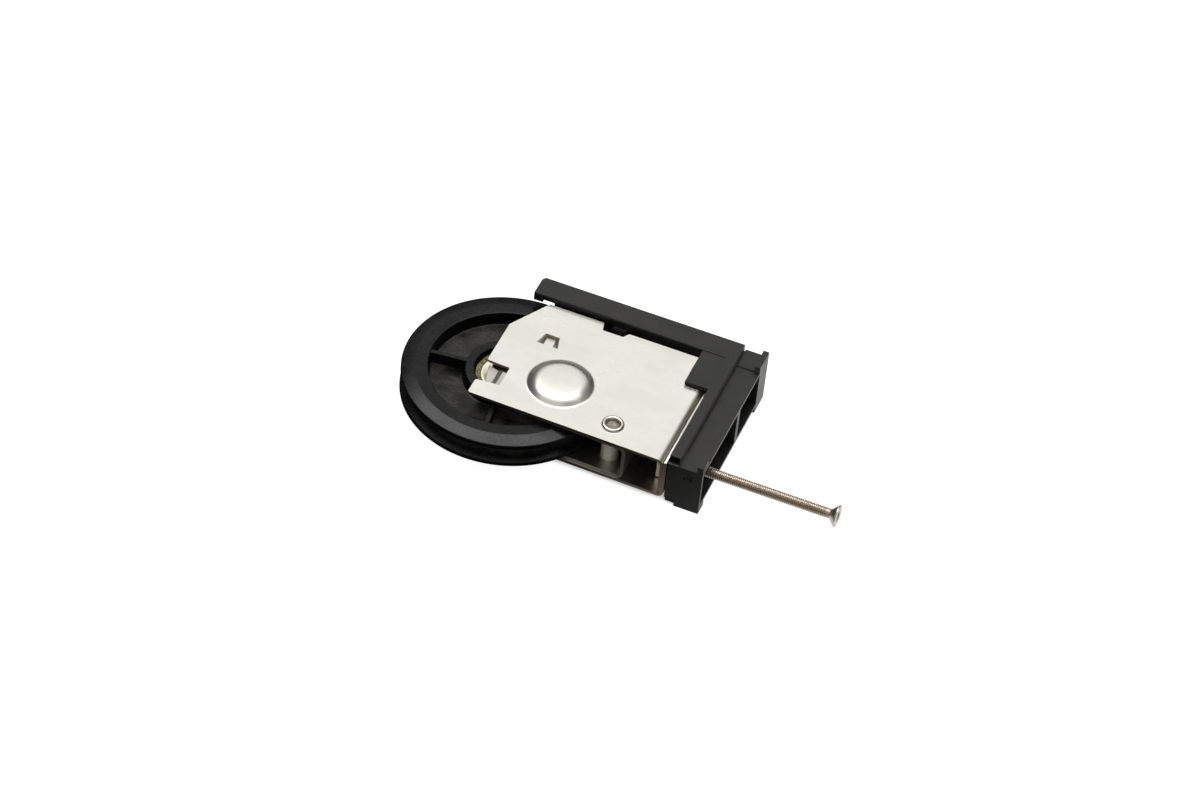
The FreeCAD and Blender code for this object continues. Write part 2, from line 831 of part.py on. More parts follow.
def check_features(body):
    """Compares each feature's volume with that of the feature before it."""
    before = 0.0
    for feature in body.Group:
        if not feature.isDerivedFrom("PartDesign::Feature"):
            continue
        volume = feature.Shape.Volume
        cuts = feature.isDerivedFrom("PartDesign::Pocket") or feature.isDerivedFrom("PartDesign::Groove")
        adds = feature.isDerivedFrom("PartDesign::Pad") or feature.isDerivedFrom("PartDesign::Revolution")
        if cuts and volume >= before - 1e-6:
            raise RuntimeError(f"{feature.Name} of {body.Label} cuts nothing")
        if adds and volume <= before + 1e-6:
            raise RuntimeError(f"{feature.Name} of {body.Label} adds nothing")
        before = volume


def main():
    """Builds the document and writes one STEP file for each piece."""
    doc = FreeCAD.newDocument("Roller")
    s = make_sheet(doc)
    pieces = [make_wheel(doc, s)]
    pieces += make_races(doc, s)
    pieces.append(make_balls(doc, s))
    pieces.append(make_cage(doc, s))
    pieces += make_shields(doc, s)
    pieces += make_axle(doc, s)
    pieces += [make_side_plate(doc, s, side) for side in (1, -1)]
    pieces.append(make_yoke(doc, s))
    pieces.append(make_rivet(doc, s))
    pieces.append(make_screw(doc, s))
    pieces.append(make_nut(doc, s))
    pieces.append(make_frame(doc, s))
    doc.recompute()
    check(doc, pieces)
    os.makedirs("parts", exist_ok=True)
    for piece in pieces:
        piece.Shape.exportStep(f"parts/{piece.Label}.step")
        box = piece.Shape.BoundBox
        print(f"{piece.Label}: {len(piece.Shape.Solids)} solid(s), volume {piece.Shape.Volume:.1f}, "
              f"X {box.XMin:.2f} to {box.XMax:.2f}, Y {box.YMin:.2f} to {box.YMax:.2f}, "
              f"Z {box.ZMin:.2f} to {box.ZMax:.2f}")


main()
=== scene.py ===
"""Single-wheel roller for a sliding door, lying on its side on a white ground.

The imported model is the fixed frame. The pieces that show are modelled again here in
millimetres, at its sizes but for a few that the photograph shows more closely, with the
rounded edges, bends and thread of the real ones. They are then brought to metres and
tied to the bodies that carry them.
"""

from __future__ import annotations

import logging
import math
from contextlib import contextmanager
from dataclasses import dataclass
from enum import Enum
from typing import Iterable, Iterator, Optional, Sequence

import bpy
from mathutils import Matrix, Vector

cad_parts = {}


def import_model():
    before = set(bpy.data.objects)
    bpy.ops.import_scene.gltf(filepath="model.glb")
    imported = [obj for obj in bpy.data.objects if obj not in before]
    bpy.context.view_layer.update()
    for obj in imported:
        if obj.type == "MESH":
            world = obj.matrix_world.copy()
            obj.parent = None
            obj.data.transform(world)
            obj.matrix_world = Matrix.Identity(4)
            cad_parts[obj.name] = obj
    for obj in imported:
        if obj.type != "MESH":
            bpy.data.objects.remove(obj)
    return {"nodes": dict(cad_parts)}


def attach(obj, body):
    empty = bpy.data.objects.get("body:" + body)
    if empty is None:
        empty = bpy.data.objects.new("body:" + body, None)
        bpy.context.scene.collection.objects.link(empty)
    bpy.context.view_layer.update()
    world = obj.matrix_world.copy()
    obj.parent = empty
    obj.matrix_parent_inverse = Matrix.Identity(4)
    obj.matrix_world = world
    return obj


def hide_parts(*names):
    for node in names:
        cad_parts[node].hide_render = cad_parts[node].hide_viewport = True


MM = 0.001
PAST = 1.0  # how far a cutting tool runs past what it cuts, in millimetres
Point = tuple[float, float]
Span = tuple[float, float]
Colour = tuple[float, float, float, float]
LOG = logging.getLogger("roller")


class Axis(Enum):
    """The direction in which an outline is extruded or a profile is turned."""

    X = 0
    Y = 1
    Z = 2


class Side(Enum):
    """The two faces of the roller, which lies on its side."""

    UPPER = 1
    LOWER = -1


class Cut(Enum):
    """What a second solid does to the first."""

    TAKE = "DIFFERENCE"
    ADD = "UNION"
    KEEP = "INTERSECT"


# Outlines


def arc(centre: Point, radius: float, start: float, end: float, steps: int) -> list[Point]:
    """Points along an arc.

    Args:
        centre: the arc's centre.
        radius: its radius.
        start: the first angle, in degrees.
        end: the last angle, in degrees.
        steps: the number of chords.

    Returns:
        The points, from the first angle to the last.
    """
    turns = [math.radians(start + (end - start) * step / steps) for step in range(steps + 1)]
    return [(centre[0] + radius * math.cos(t), centre[1] + radius * math.sin(t)) for t in turns]


def rounded(points: Sequence[Point], radii: Sequence[float], steps: int = 5) -> list[Point]:
    """An outline whose corners are rounded.

    Args:
        points: the sharp corners, in order.
        radii: the radius at each corner, where 0 keeps it sharp.
        steps: the number of chords in each rounding.

    Returns:
        The outline's points.
    """
    outline: list[Point] = []
    count = len(points)
    for index, (corner, radius) in enumerate(zip(points, radii)):
        here = Vector(corner)
        back = Vector(points[index - 1]) - here
        ahead = Vector(points[(index + 1) % count]) - here
        if radius <= 0:
            outline.append(corner)
            continue
        half = back.angle(ahead) / 2
        reach = radius / math.tan(half)
        inward = (back.normalized() + ahead.normalized()).normalized()
        middle = here + inward * radius / math.sin(half)
        first = here + back.normalized() * reach - middle
        last = here + ahead.normalized() * reach - middle
        sweep = first.angle_signed(last)
        for step in range(steps + 1):
            turned = first.copy()
            turned.rotate(Matrix.Rotation(-sweep * step / steps, 2))
            outline.append(tuple(middle + turned))
    return outline


def reflected(profile: Sequence[Point]) -> list[Point]:
    """A profile's reflection in the middle plane, walked the other way."""
    return [(across, -height) for across, height in reversed(profile)]


def mirrored(profile: Sequence[Point]) -> list[Point]:
    """A profile with its own reflection in the middle plane, as one closed ring."""
    return list(profile) + reflected(profile)


def on_side(profile: Sequence[Point], side: Side) -> list[Point]:
    """A profile of the upper side, as it lies on the given side."""
    return [(across, height * side.value) for across, height in profile]


# The modelling bench


class Bench:
    """Blender's modelling operators, used on one piece at a time, in millimetres."""

    weld = 0.0005
    flat_angle = 0.5
    turned_angle = 35.0

    @staticmethod
    def pick(piece: bpy.types.Object) -> None:
        """Makes a piece the only selected one.

        Args:
            piece: the piece.
        """
        bpy.ops.object.select_all(action="DESELECT")
        piece.select_set(True)
        bpy.context.view_layer.objects.active = piece

    @classmethod
    @contextmanager
    def editing(cls, piece: bpy.types.Object) -> Iterator[None]:
        """Opens a piece in edit mode with all of it selected, and closes it afterwards.

        Args:
            piece: the piece.

        Yields:
            Nothing: the piece is in edit mode inside the with block.
        """
        cls.pick(piece)
        bpy.ops.object.mode_set(mode="EDIT")
        bpy.ops.mesh.select_all(action="SELECT")
        yield
        bpy.ops.object.mode_set(mode="OBJECT")

    @staticmethod
    def named(name: str) -> bpy.types.Object:
        """Names the piece that was just added.

        Args:
            name: the piece's name.

        Returns:
            The piece.
        """
        piece = bpy.context.object
        piece.name = name
        piece.data.name = name
        return piece

    @classmethod
    def clean(cls, piece: bpy.types.Object) -> None:
        """Merges doubles and turns the faces outwards."""
        with cls.editing(piece):
            bpy.ops.mesh.remove_doubles(threshold=cls.weld)
            bpy.ops.mesh.normals_make_consistent(inside=False)

    @classmethod
    def chain(cls, name: str, points: Sequence[Vector]) -> bpy.types.Object:
        """A row of edges, extruded from one vertex.

        Args:
            name: the piece's name.
            points: where the vertices go.

        Returns:
            The new piece, a mesh of edges.
        """
        bpy.ops.object.select_all(action="DESELECT")
        bpy.ops.mesh.primitive_plane_add(size=1.0)
        piece = cls.named(name)
        with cls.editing(piece):
            bpy.ops.mesh.merge(type="CENTER")
            bpy.ops.transform.translate(value=points[0])
            for before, after in zip(points, points[1:]):
                move = {"value": after - before}
                bpy.ops.mesh.extrude_vertices_move(TRANSFORM_OT_translate=move)
        return piece

    @classmethod
    def lathe(cls, name: str, profile: Sequence[Point], axis: Axis = Axis.Z,
              centre: tuple[float, float, float] = (0, 0, 0), closed: bool = True,
              steps: int = 96) -> bpy.types.Object:
        """A turned piece.

        Args:
            name: the piece's name.
            profile: radius and height of each point of its section.
            axis: the axis that it is turned about.
            centre: a point on that axis.
            closed: whether the section is a ring, and not a line that ends on the axis.
            steps: the number of facets round the axis.

        Returns:
            The new piece.
        """
        ring = list(profile) + ([profile[0]] if closed else [])
        piece = cls.chain(name, [Vector((radius, 0, height)) for radius, height in ring])
        with cls.editing(piece):
            bpy.ops.mesh.spin(steps=steps, angle=math.tau, center=(0, 0, 0), axis=(0, 0, 1))
        cls.lay(piece, axis)
        piece.data.transform(Matrix.Translation(centre))
        cls.clean(piece)
        return piece

    @staticmethod
    def lay(piece: bpy.types.Object, axis: Axis) -> None:
        """Turns a piece's upright axis to another one."""
        turns = {
            Axis.X: Matrix(((0, 0, 1, 0), (1, 0, 0, 0), (0, 1, 0, 0), (0, 0, 0, 1))),
            Axis.Y: Matrix(((1, 0, 0, 0), (0, 0, 1, 0), (0, 1, 0, 0), (0, 0, 0, 1))),
            Axis.Z: Matrix.Identity(4),
        }
        piece.data.transform(turns[axis])

    @classmethod
    def prism(cls, name: str, outline: Sequence[Point], low: float, high: float,
              axis: Axis = Axis.Z) -> bpy.types.Object:
        """An outline extruded along an axis.

        Args:
            name: the piece's name.
            outline: the corners, as (Y, Z) along X, (X, Z) along Y or (X, Y) along Z.
            low: where the solid starts on the axis.
            high: where it ends.
            axis: the direction of the extrusion.

        Returns:
            The new piece.
        """
        bpy.ops.object.select_all(action="DESELECT")
        bpy.ops.mesh.primitive_circle_add(vertices=len(outline), radius=1.0, fill_type="NGON")
        piece = cls.named(name)
        for vertex, (across, along) in zip(piece.data.vertices, outline):
            vertex.co = (across, along, low)
        with cls.editing(piece):
            move = {"value": (0, 0, high - low)}
            bpy.ops.mesh.extrude_region_move(TRANSFORM_OT_translate=move)
        cls.lay(piece, axis)
        cls.clean(piece)
        return piece

    @classmethod
    def box(cls, name: str, low: Sequence[float], high: Sequence[float]) -> bpy.types.Object:
        """A box between two corners."""
        outline = [(low[0], low[1]), (high[0], low[1]), (high[0], high[1]), (low[0], high[1])]
        return cls.prism(name, outline, low[2], high[2])

    @classmethod
    def rod(cls, name: str, centre: Point, radius: float, low: float, high: float,
            axis: Axis = Axis.Z, steps: int = 64) -> bpy.types.Object:
        """A round bar, as a tool for holes and bosses."""
        return cls.prism(name, arc(centre, radius, 0, 360, steps)[:-1], low, high, axis)

    @classmethod
    def combine(cls, piece: bpy.types.Object, tool: bpy.types.Object, cut: Cut) -> None:
        """Cuts, adds or intersects with a second solid, which is then removed.

        Args:
            piece: the piece that is changed.
            tool: the second solid.
            cut: what the second solid does to the first.
        """
        cls.pick(piece)
        change = piece.modifiers.new(cut.name, "BOOLEAN")
        change.operation = cut.value
        change.solver = "EXACT"
        change.object = tool
        bpy.ops.object.modifier_apply(modifier=change.name)
        bpy.data.objects.remove(tool)

    @classmethod
    def join(cls, piece: bpy.types.Object, *others: bpy.types.Object) -> None:
        """Joins separate solids into one piece.

        Args:
            piece: the piece that takes the others in.
            others: the solids that join it.
        """
        cls.pick(piece)
        for other in others:
            other.select_set(True)
        bpy.ops.object.join()

    @classmethod
    def soften(cls, piece: bpy.types.Object, width: float, segments: int = 2,
               sharper_than: float = 40.0) -> None:
        """Rounds every edge that is sharper than an angle.

        Args:
            piece: the piece.
            width: the width of the rounding, in millimetres.
            segments: the number of facets across it.
            sharper_than: the angle, in degrees.
        """
        cls.pick(piece)
        bevel = piece.modifiers.new("soft_edges", "BEVEL")
        bevel.width = width
        bevel.segments = segments
        bevel.limit_method = "ANGLE"
        bevel.angle_limit = math.radians(sharper_than)
        bevel.use_clamp_overlap = True
        bevel.miter_outer = "MITER_ARC"
        bpy.ops.object.modifier_apply(modifier=bevel.name)

    @classmethod
    def smooth(cls, piece: bpy.types.Object, angle: float = 50.0, broad: float = 14.0) -> None:
        """Shades a piece smooth, with its broad flat faces kept flat.

        Args:
            piece: the piece.
            angle: the angle above which an edge stays sharp, in degrees.
            broad: the area above which a face is flat, in square millimetres.
        """
        cls.pick(piece)
        bpy.ops.object.shade_smooth_by_angle(angle=math.radians(angle))
        for face in piece.data.polygons:
            if face.area > broad:
                face.use_smooth = False

    @classmethod
    def copy_node(cls, name: str, node: str) -> bpy.types.Object:
        """A copy of a CAD node in millimetres, with its loose triangles merged.

        Args:
            name: the new piece's name.
            node: the node to copy.

        Returns:
            The new piece.
        """
        source = FRAME["nodes"][node]
        piece = bpy.data.objects.new(name, source.data.copy())
        bpy.context.scene.collection.objects.link(piece)
        piece.data.name = name
        piece.data.materials.clear()
        piece.data.transform(Matrix.Scale(1 / MM, 4))
        with cls.editing(piece):
            bpy.ops.mesh.remove_doubles(threshold=cls.weld)
            bpy.ops.mesh.dissolve_limited(angle_limit=math.radians(cls.flat_angle))
        return piece


@dataclass
class Fitter:
    """Brings finished pieces to metres and ties each to its body, finish and nodes."""

    count: int = 0

    def deliver(self, piece: bpy.types.Object, body: str, finish: Finish,
                replaces: Iterable[str] = ()) -> bpy.types.Object:
        """Hands a finished piece over to the frame.

        Args:
            piece: the piece, in millimetres.
            body: the body that carries it.
            finish: its finish.
            replaces: the CAD nodes that it stands for.

        Returns:
            The piece.
        """
        piece.data.transform(Matrix.Scale(MM, 4))
        piece.data.materials.clear()
        piece.data.materials.append(finish.material())
        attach(piece, body)
        nodes = list(replaces)
        if nodes:
            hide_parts(*nodes)
        self.count += 1
        LOG.info("%s rides on %s and stands for %s", piece.name, body, nodes or "nothing")
        return piece


# Shader expressions


class Value:
    """A shader socket that can be used in arithmetic."""

    def __init__(self, graph: Graph, socket: bpy.types.NodeSocket) -> None:
        """Wraps a socket of a graph."""
        self.graph = graph
        self.socket = socket

    def _math(self, operation: str, first: object, second: object) -> Value:
        """Adds a Math node for one operation."""
        node = self.graph.node("ShaderNodeMath", {"operation": operation}, (first, second))
        return node.out(0)

    def __add__(self, other: object) -> Value:
        """This plus another."""
        return self._math("ADD", self, other)

    def __sub__(self, other: object) -> Value:
        """This less another."""
        return self._math("SUBTRACT", self, other)

    def __rsub__(self, other: object) -> Value:
        """Another less this."""
        return self._math("SUBTRACT", other, self)

    def __mul__(self, other: object) -> Value:
        """This times another."""
        return self._math("MULTIPLY", self, other)

    def __truediv__(self, other: object) -> Value:
        """This over another."""
        return self._math("DIVIDE", self, other)

    def __pow__(self, other: object) -> Value:
        """This to the power of another."""
        return self._math("POWER", self, other)

    def __abs__(self) -> Value:
        """This without its sign."""
        return self._math("ABSOLUTE", self, 0.0)

    __radd__ = __add__
    __rmul__ = __mul__

    def span(self, low: float, high: float) -> Value:
        """0 where this is at the low value or less, 1 at the high value or more, smoothly.

        Args:
            low: the value where the result starts to rise.
            high: the value where it reaches 1.

        Returns:
            The share, from 0 to 1.
        """
        settings = {"interpolation_type": "SMOOTHSTEP"}
        node = self.graph.node("ShaderNodeMapRange", settings, (self, low, high, 0.0, 1.0))
        return node.out(0)

    def lifted(self, floor: float) -> Value:
        """This, with its range of 0 to 1 squeezed into the range from a floor to 1."""
        return floor + self * (1.0 - floor)


class Node:
    """A node of a graph, with its outputs as values."""

    def __init__(self, graph: Graph, node: bpy.types.Node) -> None:
        """Wraps a node."""
        self.graph = graph
        self.node = node

    def out(self, which: int | str) -> Value:
        """One output of the node."""
        return Value(self.graph, self.node.outputs[which])


class Graph:
    """A node tree that is written as Python expressions."""

    def __init__(self, tree: bpy.types.NodeTree) -> None:
        """Starts an empty tree."""
        self.tree = tree
        self.tree.nodes.clear()

    def node(self, kind: str, settings: Optional[dict] = None,
             inputs: Sequence | dict = ()) -> Node:
        """Adds a node.

        Args:
            kind: the node's type.
            settings: its settings, which are set first, with a ramp's stops among them.
            inputs: values or links, by place or by name.

        Returns:
            The node.
        """
        made = self.tree.nodes.new(kind)
        for key, value in (settings or {}).items():
            if key == "stops":
                self._set_stops(made, value)
            else:
                setattr(made, key, value)
        pairs = inputs.items() if isinstance(inputs, dict) else enumerate(inputs)
        for key, value in pairs:
            if isinstance(value, Value):
                self.tree.links.new(value.socket, made.inputs[key])
            elif value is not None:
                made.inputs[key].default_value = value
        return Node(self, made)

    @staticmethod
    def _set_stops(ramp: bpy.types.Node, stops: Sequence[tuple[float, Colour]]) -> None:
        """Gives a colour ramp its stops.

        Args:
            ramp: the colour ramp.
            stops: the places and colours of its stops.
        """
        elements = ramp.color_ramp.elements
        while len(elements) < len(stops):
            elements.new(0.5)
        for element, (place, colour) in zip(elements, stops):
            element.position = place
            element.color = colour

    def place(self) -> Value:
        """The point on the piece, in metres."""
        return self.node("ShaderNodeTexCoord").out("Object")

    def stretch(self, point: Value, scale: Sequence[float]) -> Value:
        """A point with each axis scaled by its own amount."""
        return self.node("ShaderNodeMapping", {"vector_type": "POINT"},
                         {"Vector": point, "Scale": tuple(scale)}).out(0)

    def noise(self, point: Value, per_mm: float, detail: float, rough: float) -> Value:
        """Noise whose grains are about 1 / per_mm millimetres wide."""
        inputs = {"Vector": point, "Scale": per_mm / MM, "Detail": detail, "Roughness": rough}
        return self.node("ShaderNodeTexNoise", None, inputs).out(0)

    def mix(self, share: Value | float, first: Colour | Value, second: Colour | Value) -> Value:
        """A colour between two others."""
        inputs = {0: share, 6: first, 7: second}
        return self.node("ShaderNodeMix", {"data_type": "RGBA"}, inputs).out(2)

    def split(self, vector: Value) -> tuple[Value, Value, Value]:
        """The three parts of a vector."""
        node = self.node("ShaderNodeSeparateXYZ", None, (vector,))
        return node.out(0), node.out(1), node.out(2)

    def facing(self) -> tuple[Value, Value, Value]:
        """The three parts of the face's own direction on the piece.

        Returns:
            The parts along X, Y and Z.
        """
        world = self.node("ShaderNodeNewGeometry").out("True Normal")
        settings = {"vector_type": "NORMAL", "convert_from": "WORLD", "convert_to": "OBJECT"}
        local = self.node("ShaderNodeVectorTransform", settings, (world,))
        return self.split(local.out(0))

    def bump(self, height: Value, depth_mm: float, strength: float = 1.0) -> Value:
        """A normal that follows a height, with its depth in millimetres."""
        inputs = {"Height": height, "Distance": depth_mm * MM, "Strength": strength}
        return self.node("ShaderNodeBump", None, inputs).out(0)


def grey(level: float) -> Colour:
    """A neutral colour."""
    return (level, level, level, 1.0)


# Finishes


@dataclass(frozen=True)
class Finish:
    """What every finish has: a name, and the record's slot that it belongs to."""

    name: str
    slot: str

    def material(self) -> bpy.types.Material:
        """The finish as a material, made once.

        Returns:
            The material.
        """
        made = bpy.data.materials.get(self.name)
        if made is None:
            made = bpy.data.materials.new(self.name)
            made.use_nodes = True
            graph = Graph(made.node_tree)
            sockets = self.surface(graph)
            shader = graph.node("ShaderNodeBsdfPrincipled", None, sockets)
            graph.node("ShaderNodeOutputMaterial", None, {"Surface": shader.out(0)})
        return made

    def surface(self, graph: Graph) -> dict:
        """The sockets of the finish's shader."""
        raise NotImplementedError


@dataclass(frozen=True)
class Pattern:
    """Noise on a piece.

    Attributes:
        per_mm: how many grains there are in a millimetre.
        detail: how many finer layers it has.
        rough: how strong the finer layers are.
        stretch: the scale along each axis, where less than 1 draws the grains out.
        fade: the levels between which it goes from 0 to 1, where it isn't left plain.
    """

    per_mm: float
    detail: float = 3.0
    rough: float = 0.55
    stretch: Optional[tuple[float, float, float]] = None
    fade: Optional[Span] = None

    def at(self, graph: Graph, point: Value) -> Value:
        """The pattern's level at a point.

        Args:
            graph: the graph of the finish's nodes.
            point: the point, in the piece's own space.

        Returns:
            The level there.
        """
        if self.stretch:
            point = graph.stretch(point, self.stretch)
        level = graph.noise(point, self.per_mm, self.detail, self.rough)
        return level.span(*self.fade) if self.fade else level


@dataclass(frozen=True)
class SheetSteel(Finish):
    """Cold-rolled bright sheet: satin faces with a faint grain, and sheared edges tinted brown, a
    tint that also lies on the bends as painted shade.
    """

    face: Colour = (0.80, 0.775, 0.715, 1.0)
    shade: Colour = (0.71, 0.69, 0.63, 1.0)
    fleck: Colour = grey(0.45)
    # the brown below is the sheared edges' own tint, but it is laid on every upright face, so on
    # the bends it is painted shade
    edge: Colour = (0.30, 0.21, 0.14, 1.0)
    roughness: float = 0.21
    grain: Pattern = Pattern(4.0, 4.0, stretch=(0.06, 1.0, 1.0))
    smear: Pattern = Pattern(0.09, stretch=(0.5, 1.0, 1.0))
    smear_fade: Span = (0.35, 0.68)
    speck: Pattern = Pattern(1.3, 4.0, 0.7, fade=(0.60, 0.72))
    speck_share: float = 0.12
    edge_fade: Span = (0.15, 0.78)
    edge_tint_and_shade_share: float = 0.85
    coarse_dulling: float = 0.10
    fine_dulling: float = 0.06
    grain_relief: float = 0.5
    smear_relief: float = 0.8
    relief_mm: float = 0.006

    def surface(self, graph: Graph) -> dict:
        """The sockets: grain along the sheet, soft smears, and darker, rougher edges, whose brown
        on upright and bent faces is partly painted shade.

        Args:
            graph: the graph of the finish's nodes.

        Returns:
            The shader's sockets by their names, each with its value or link.
        """
        point = graph.place()
        grain, smear = self.grain.at(graph, point), self.smear.at(graph, point)
        speck = self.speck.at(graph, point)
        # upright and bent faces take the brown edge colour: the cut edges' tint, and painted shade
        # on the bends
        upright = 1.0 - abs(graph.facing()[2]).span(*self.edge_fade)
        face = graph.mix(smear.span(*self.smear_fade), self.face, self.shade)
        marked = graph.mix(speck * self.speck_share, face, self.fleck)
        coarse = smear * self.coarse_dulling + upright * self.coarse_dulling
        fine = grain * self.fine_dulling + speck * self.fine_dulling
        height = grain * self.grain_relief + smear * self.smear_relief
        return {
            "Base Color": graph.mix(upright * self.edge_tint_and_shade_share, marked, self.edge),
            "Metallic": 1.0,
            "Roughness": self.roughness + coarse + fine,
            "Normal": graph.bump(height, self.relief_mm, 0.5),
        }


@dataclass(frozen=True)
class MouldedPlastic(Finish):
    """Moulded plastic: a fine grain, faint flow marks, rubbed faces, a little dust, and a painted
    sheen on faces that look along X.
    """

    base: Colour = (0.0085, 0.0080, 0.0074, 1.0)
    worn: Colour = (0.022, 0.0205, 0.0180, 1.0)
    # painted sheen: a pale grey for faces that look along X, standing in for the reflection they
    # show at a grazing view
    end_sheen: Colour = (0.185, 0.175, 0.160, 1.0)
    dust: Colour = (0.046, 0.042, 0.035, 1.0)
    roughness: float = 0.40
    shine: float = 0.34
    grain_mm: float = 0.012
    rubbed: float = 0.75
    end_sheen_share: float = 0.75
    dusty_below_mm: float = 0.0
    dust_fade_mm: float = 1.0
    dust_floor: float = 0.08
    grain: Pattern = Pattern(3.2, 3.0, 0.6)
    flow: Pattern = Pattern(0.11, 4.0, stretch=(0.6, 1.0, 1.0))
    blotch: Pattern = Pattern(0.16, 6.0, 0.70, (0.5, 1.0, 1.0), (0.36, 0.66))
    scuff: Pattern = Pattern(0.75, 5.0, 0.65, (1.0, 0.35, 1.0), (0.56, 0.74))
    mottle: Pattern = Pattern(1.1, 4.0, 0.65, fade=(0.34, 0.66))
    wear_shares: tuple[float, float, float] = (0.5, 0.2, 0.3)
    wear_floor: float = 0.03
    broad_fade: Span = (0.75, 0.97)
    end_sheen_fade: Span = (0.85, 0.98)
    end_sheen_floor: float = 0.5
    flow_dulling: float = 0.22
    blotch_dulling: float = 0.06
    mottle_dulling: float = 0.10
    flow_relief: float = 0.6

    def surface(self, graph: Graph) -> dict:
        """The sockets: grain in the bump, flow marks in the gloss, rubbing and a painted end-face
        sheen in the colour.

        Args:
            graph: the graph of the finish's nodes.

        Returns:
            The shader's sockets by their names, each with its value or link.
        """
        point = graph.place()
        grain, flow = self.grain.at(graph, point), self.flow.at(graph, point)
        marks = [kind.at(graph, point) for kind in (self.blotch, self.scuff, self.mottle)]
        blotch, _, mottle = marks
        endwise, _, upward = graph.facing()
        broad = abs(upward).span(*self.broad_fade)
        worn = sum(mark * share for mark, share in zip(marks, self.wear_shares))
        rubbed = worn * broad.lifted(self.wear_floor)
        colour = graph.mix(rubbed * self.rubbed, self.base, self.worn)
        # painted sheen: faces that look along X are lightened towards the end sheen grey, mottled
        if self.end_sheen_share:
            end = abs(endwise).span(*self.end_sheen_fade) * mottle.lifted(self.end_sheen_floor)
            colour = graph.mix(end * self.end_sheen_share, colour, self.end_sheen)
        if self.dusty_below_mm:
            top = self.dusty_below_mm + self.dust_fade_mm
            sunk = 1.0 - abs(graph.split(point)[2]).span(self.dusty_below_mm * MM, top * MM)
            colour = graph.mix(sunk * broad * blotch.lifted(self.dust_floor), colour, self.dust)
        uneven = (flow - 0.5) * self.flow_dulling + (mottle - 0.5) * self.mottle_dulling
        return {
            "Base Color": colour,
            "Roughness": self.roughness + uneven + blotch * self.blotch_dulling,
            "Specular IOR Level": self.shine,
            "Normal": graph.bump(grain + flow * self.flow_relief, self.grain_mm, 0.6),
        }


@dataclass(frozen=True)
class TurnedMetal(Finish):
    """Turned or plated metal, with fine rings, grime stains, and painted shade in its hollow where
    one is given.
    """

    colour: Colour = (0.60, 0.55, 0.47, 1.0)
    grime: Colour = (0.16, 0.13, 0.10, 1.0)
    roughness: float = 0.28
    grime_share: float = 0.25
    grain_mm: float = 0.0012
    stain: Pattern = Pattern(0.45, 4.0, 0.6, fade=(0.45, 0.72))
    fine: Pattern = Pattern(2.5)
    stain_dulling: float = 0.15
    fine_dulling: float = 0.08
    # painted shade: where a hollow's band of heights is given, it is darkened towards the grime
    # colour
    hollow_mm: Optional[Span] = None
    hollow_fade_mm: Span = (0.2, 0.4)
    hollow_shade: float = 2.2
    matt_within_mm: float = 0.0
    matt_metallic: float = 0.5

    def surface(self, graph: Graph) -> dict:
        """The sockets: a fine grain, stains that dull the metal, and painted shade that darkens
        and dulls it in the hollow.

        Args:
            graph: the graph of the finish's nodes.

        Returns:
            The shader's sockets by their names, each with its value or link.
        """
        point = graph.place()
        stain, fine = self.stain.at(graph, point), self.fine.at(graph, point)
        metallic = 1.0
        if self.hollow_mm:
            low, high = (value * MM for value in self.hollow_mm)
            under, over = (value * MM for value in self.hollow_fade_mm)
            level = abs(graph.split(point)[2])
            # painted shade: the stain level is raised inside the hollow, darkening and dulling the
            # metal there
            hollow = level.span(low - under, low) * (1.0 - level.span(high - over, high))
            stain = stain + hollow * self.hollow_shade
            metallic = level.span(self.matt_within_mm * MM, low).lifted(self.matt_metallic)
        return {
            "Base Color": graph.mix(stain * self.grime_share, self.colour, self.grime),
            "Metallic": metallic,
            "Roughness": self.roughness + stain * self.stain_dulling + fine * self.fine_dulling,
            "Normal": graph.bump(fine, self.grain_mm, 0.5),
        }


@dataclass(frozen=True)
class ThreadedNickel(Finish):
    """Nickel on a rolled thread: bright crests, and a darker, warmer colour down in the roots."""

    crest: Colour = (0.63, 0.55, 0.475, 1.0)
    root: Colour = (0.34, 0.27, 0.20, 1.0)
    axis_y: float = -10.3
    crest_radius: float = 1.98
    root_radius: float = 1.66
    roughness: float = 0.26
    stain: Pattern = Pattern(0.30, 4.0, 0.6, fade=(0.42, 0.75))
    fine: Pattern = Pattern(5.0)
    root_share: float = 0.85
    stain_share: float = 0.12
    root_dulling: float = 0.20
    fine_dulling: float = 0.10
    grain_mm: float = 0.004

    def surface(self, graph: Graph) -> dict:
        """The sockets: the colour follows the distance from the screw's axis.

        Args:
            graph: the graph of the finish's nodes.

        Returns:
            The shader's sockets by their names, each with its value or link.
        """
        point = graph.place()
        _, across, up = graph.split(point)
        offset = across - self.axis_y * MM
        radius = (offset * offset + up * up) ** 0.5
        # darker and warmer towards the thread's roots, by distance from the axis
        deep = 1.0 - radius.span(self.root_radius * MM, self.crest_radius * MM)
        stain, fine = self.stain.at(graph, point), self.fine.at(graph, point)
        share = deep * self.root_share + stain * self.stain_share
        return {
            "Base Color": graph.mix(share, self.crest, self.root),
            "Metallic": 1.0,
            "Roughness": self.roughness + deep * self.root_dulling + fine * self.fine_dulling,
            "Normal": graph.bump(fine, self.grain_mm, 0.4),
        }


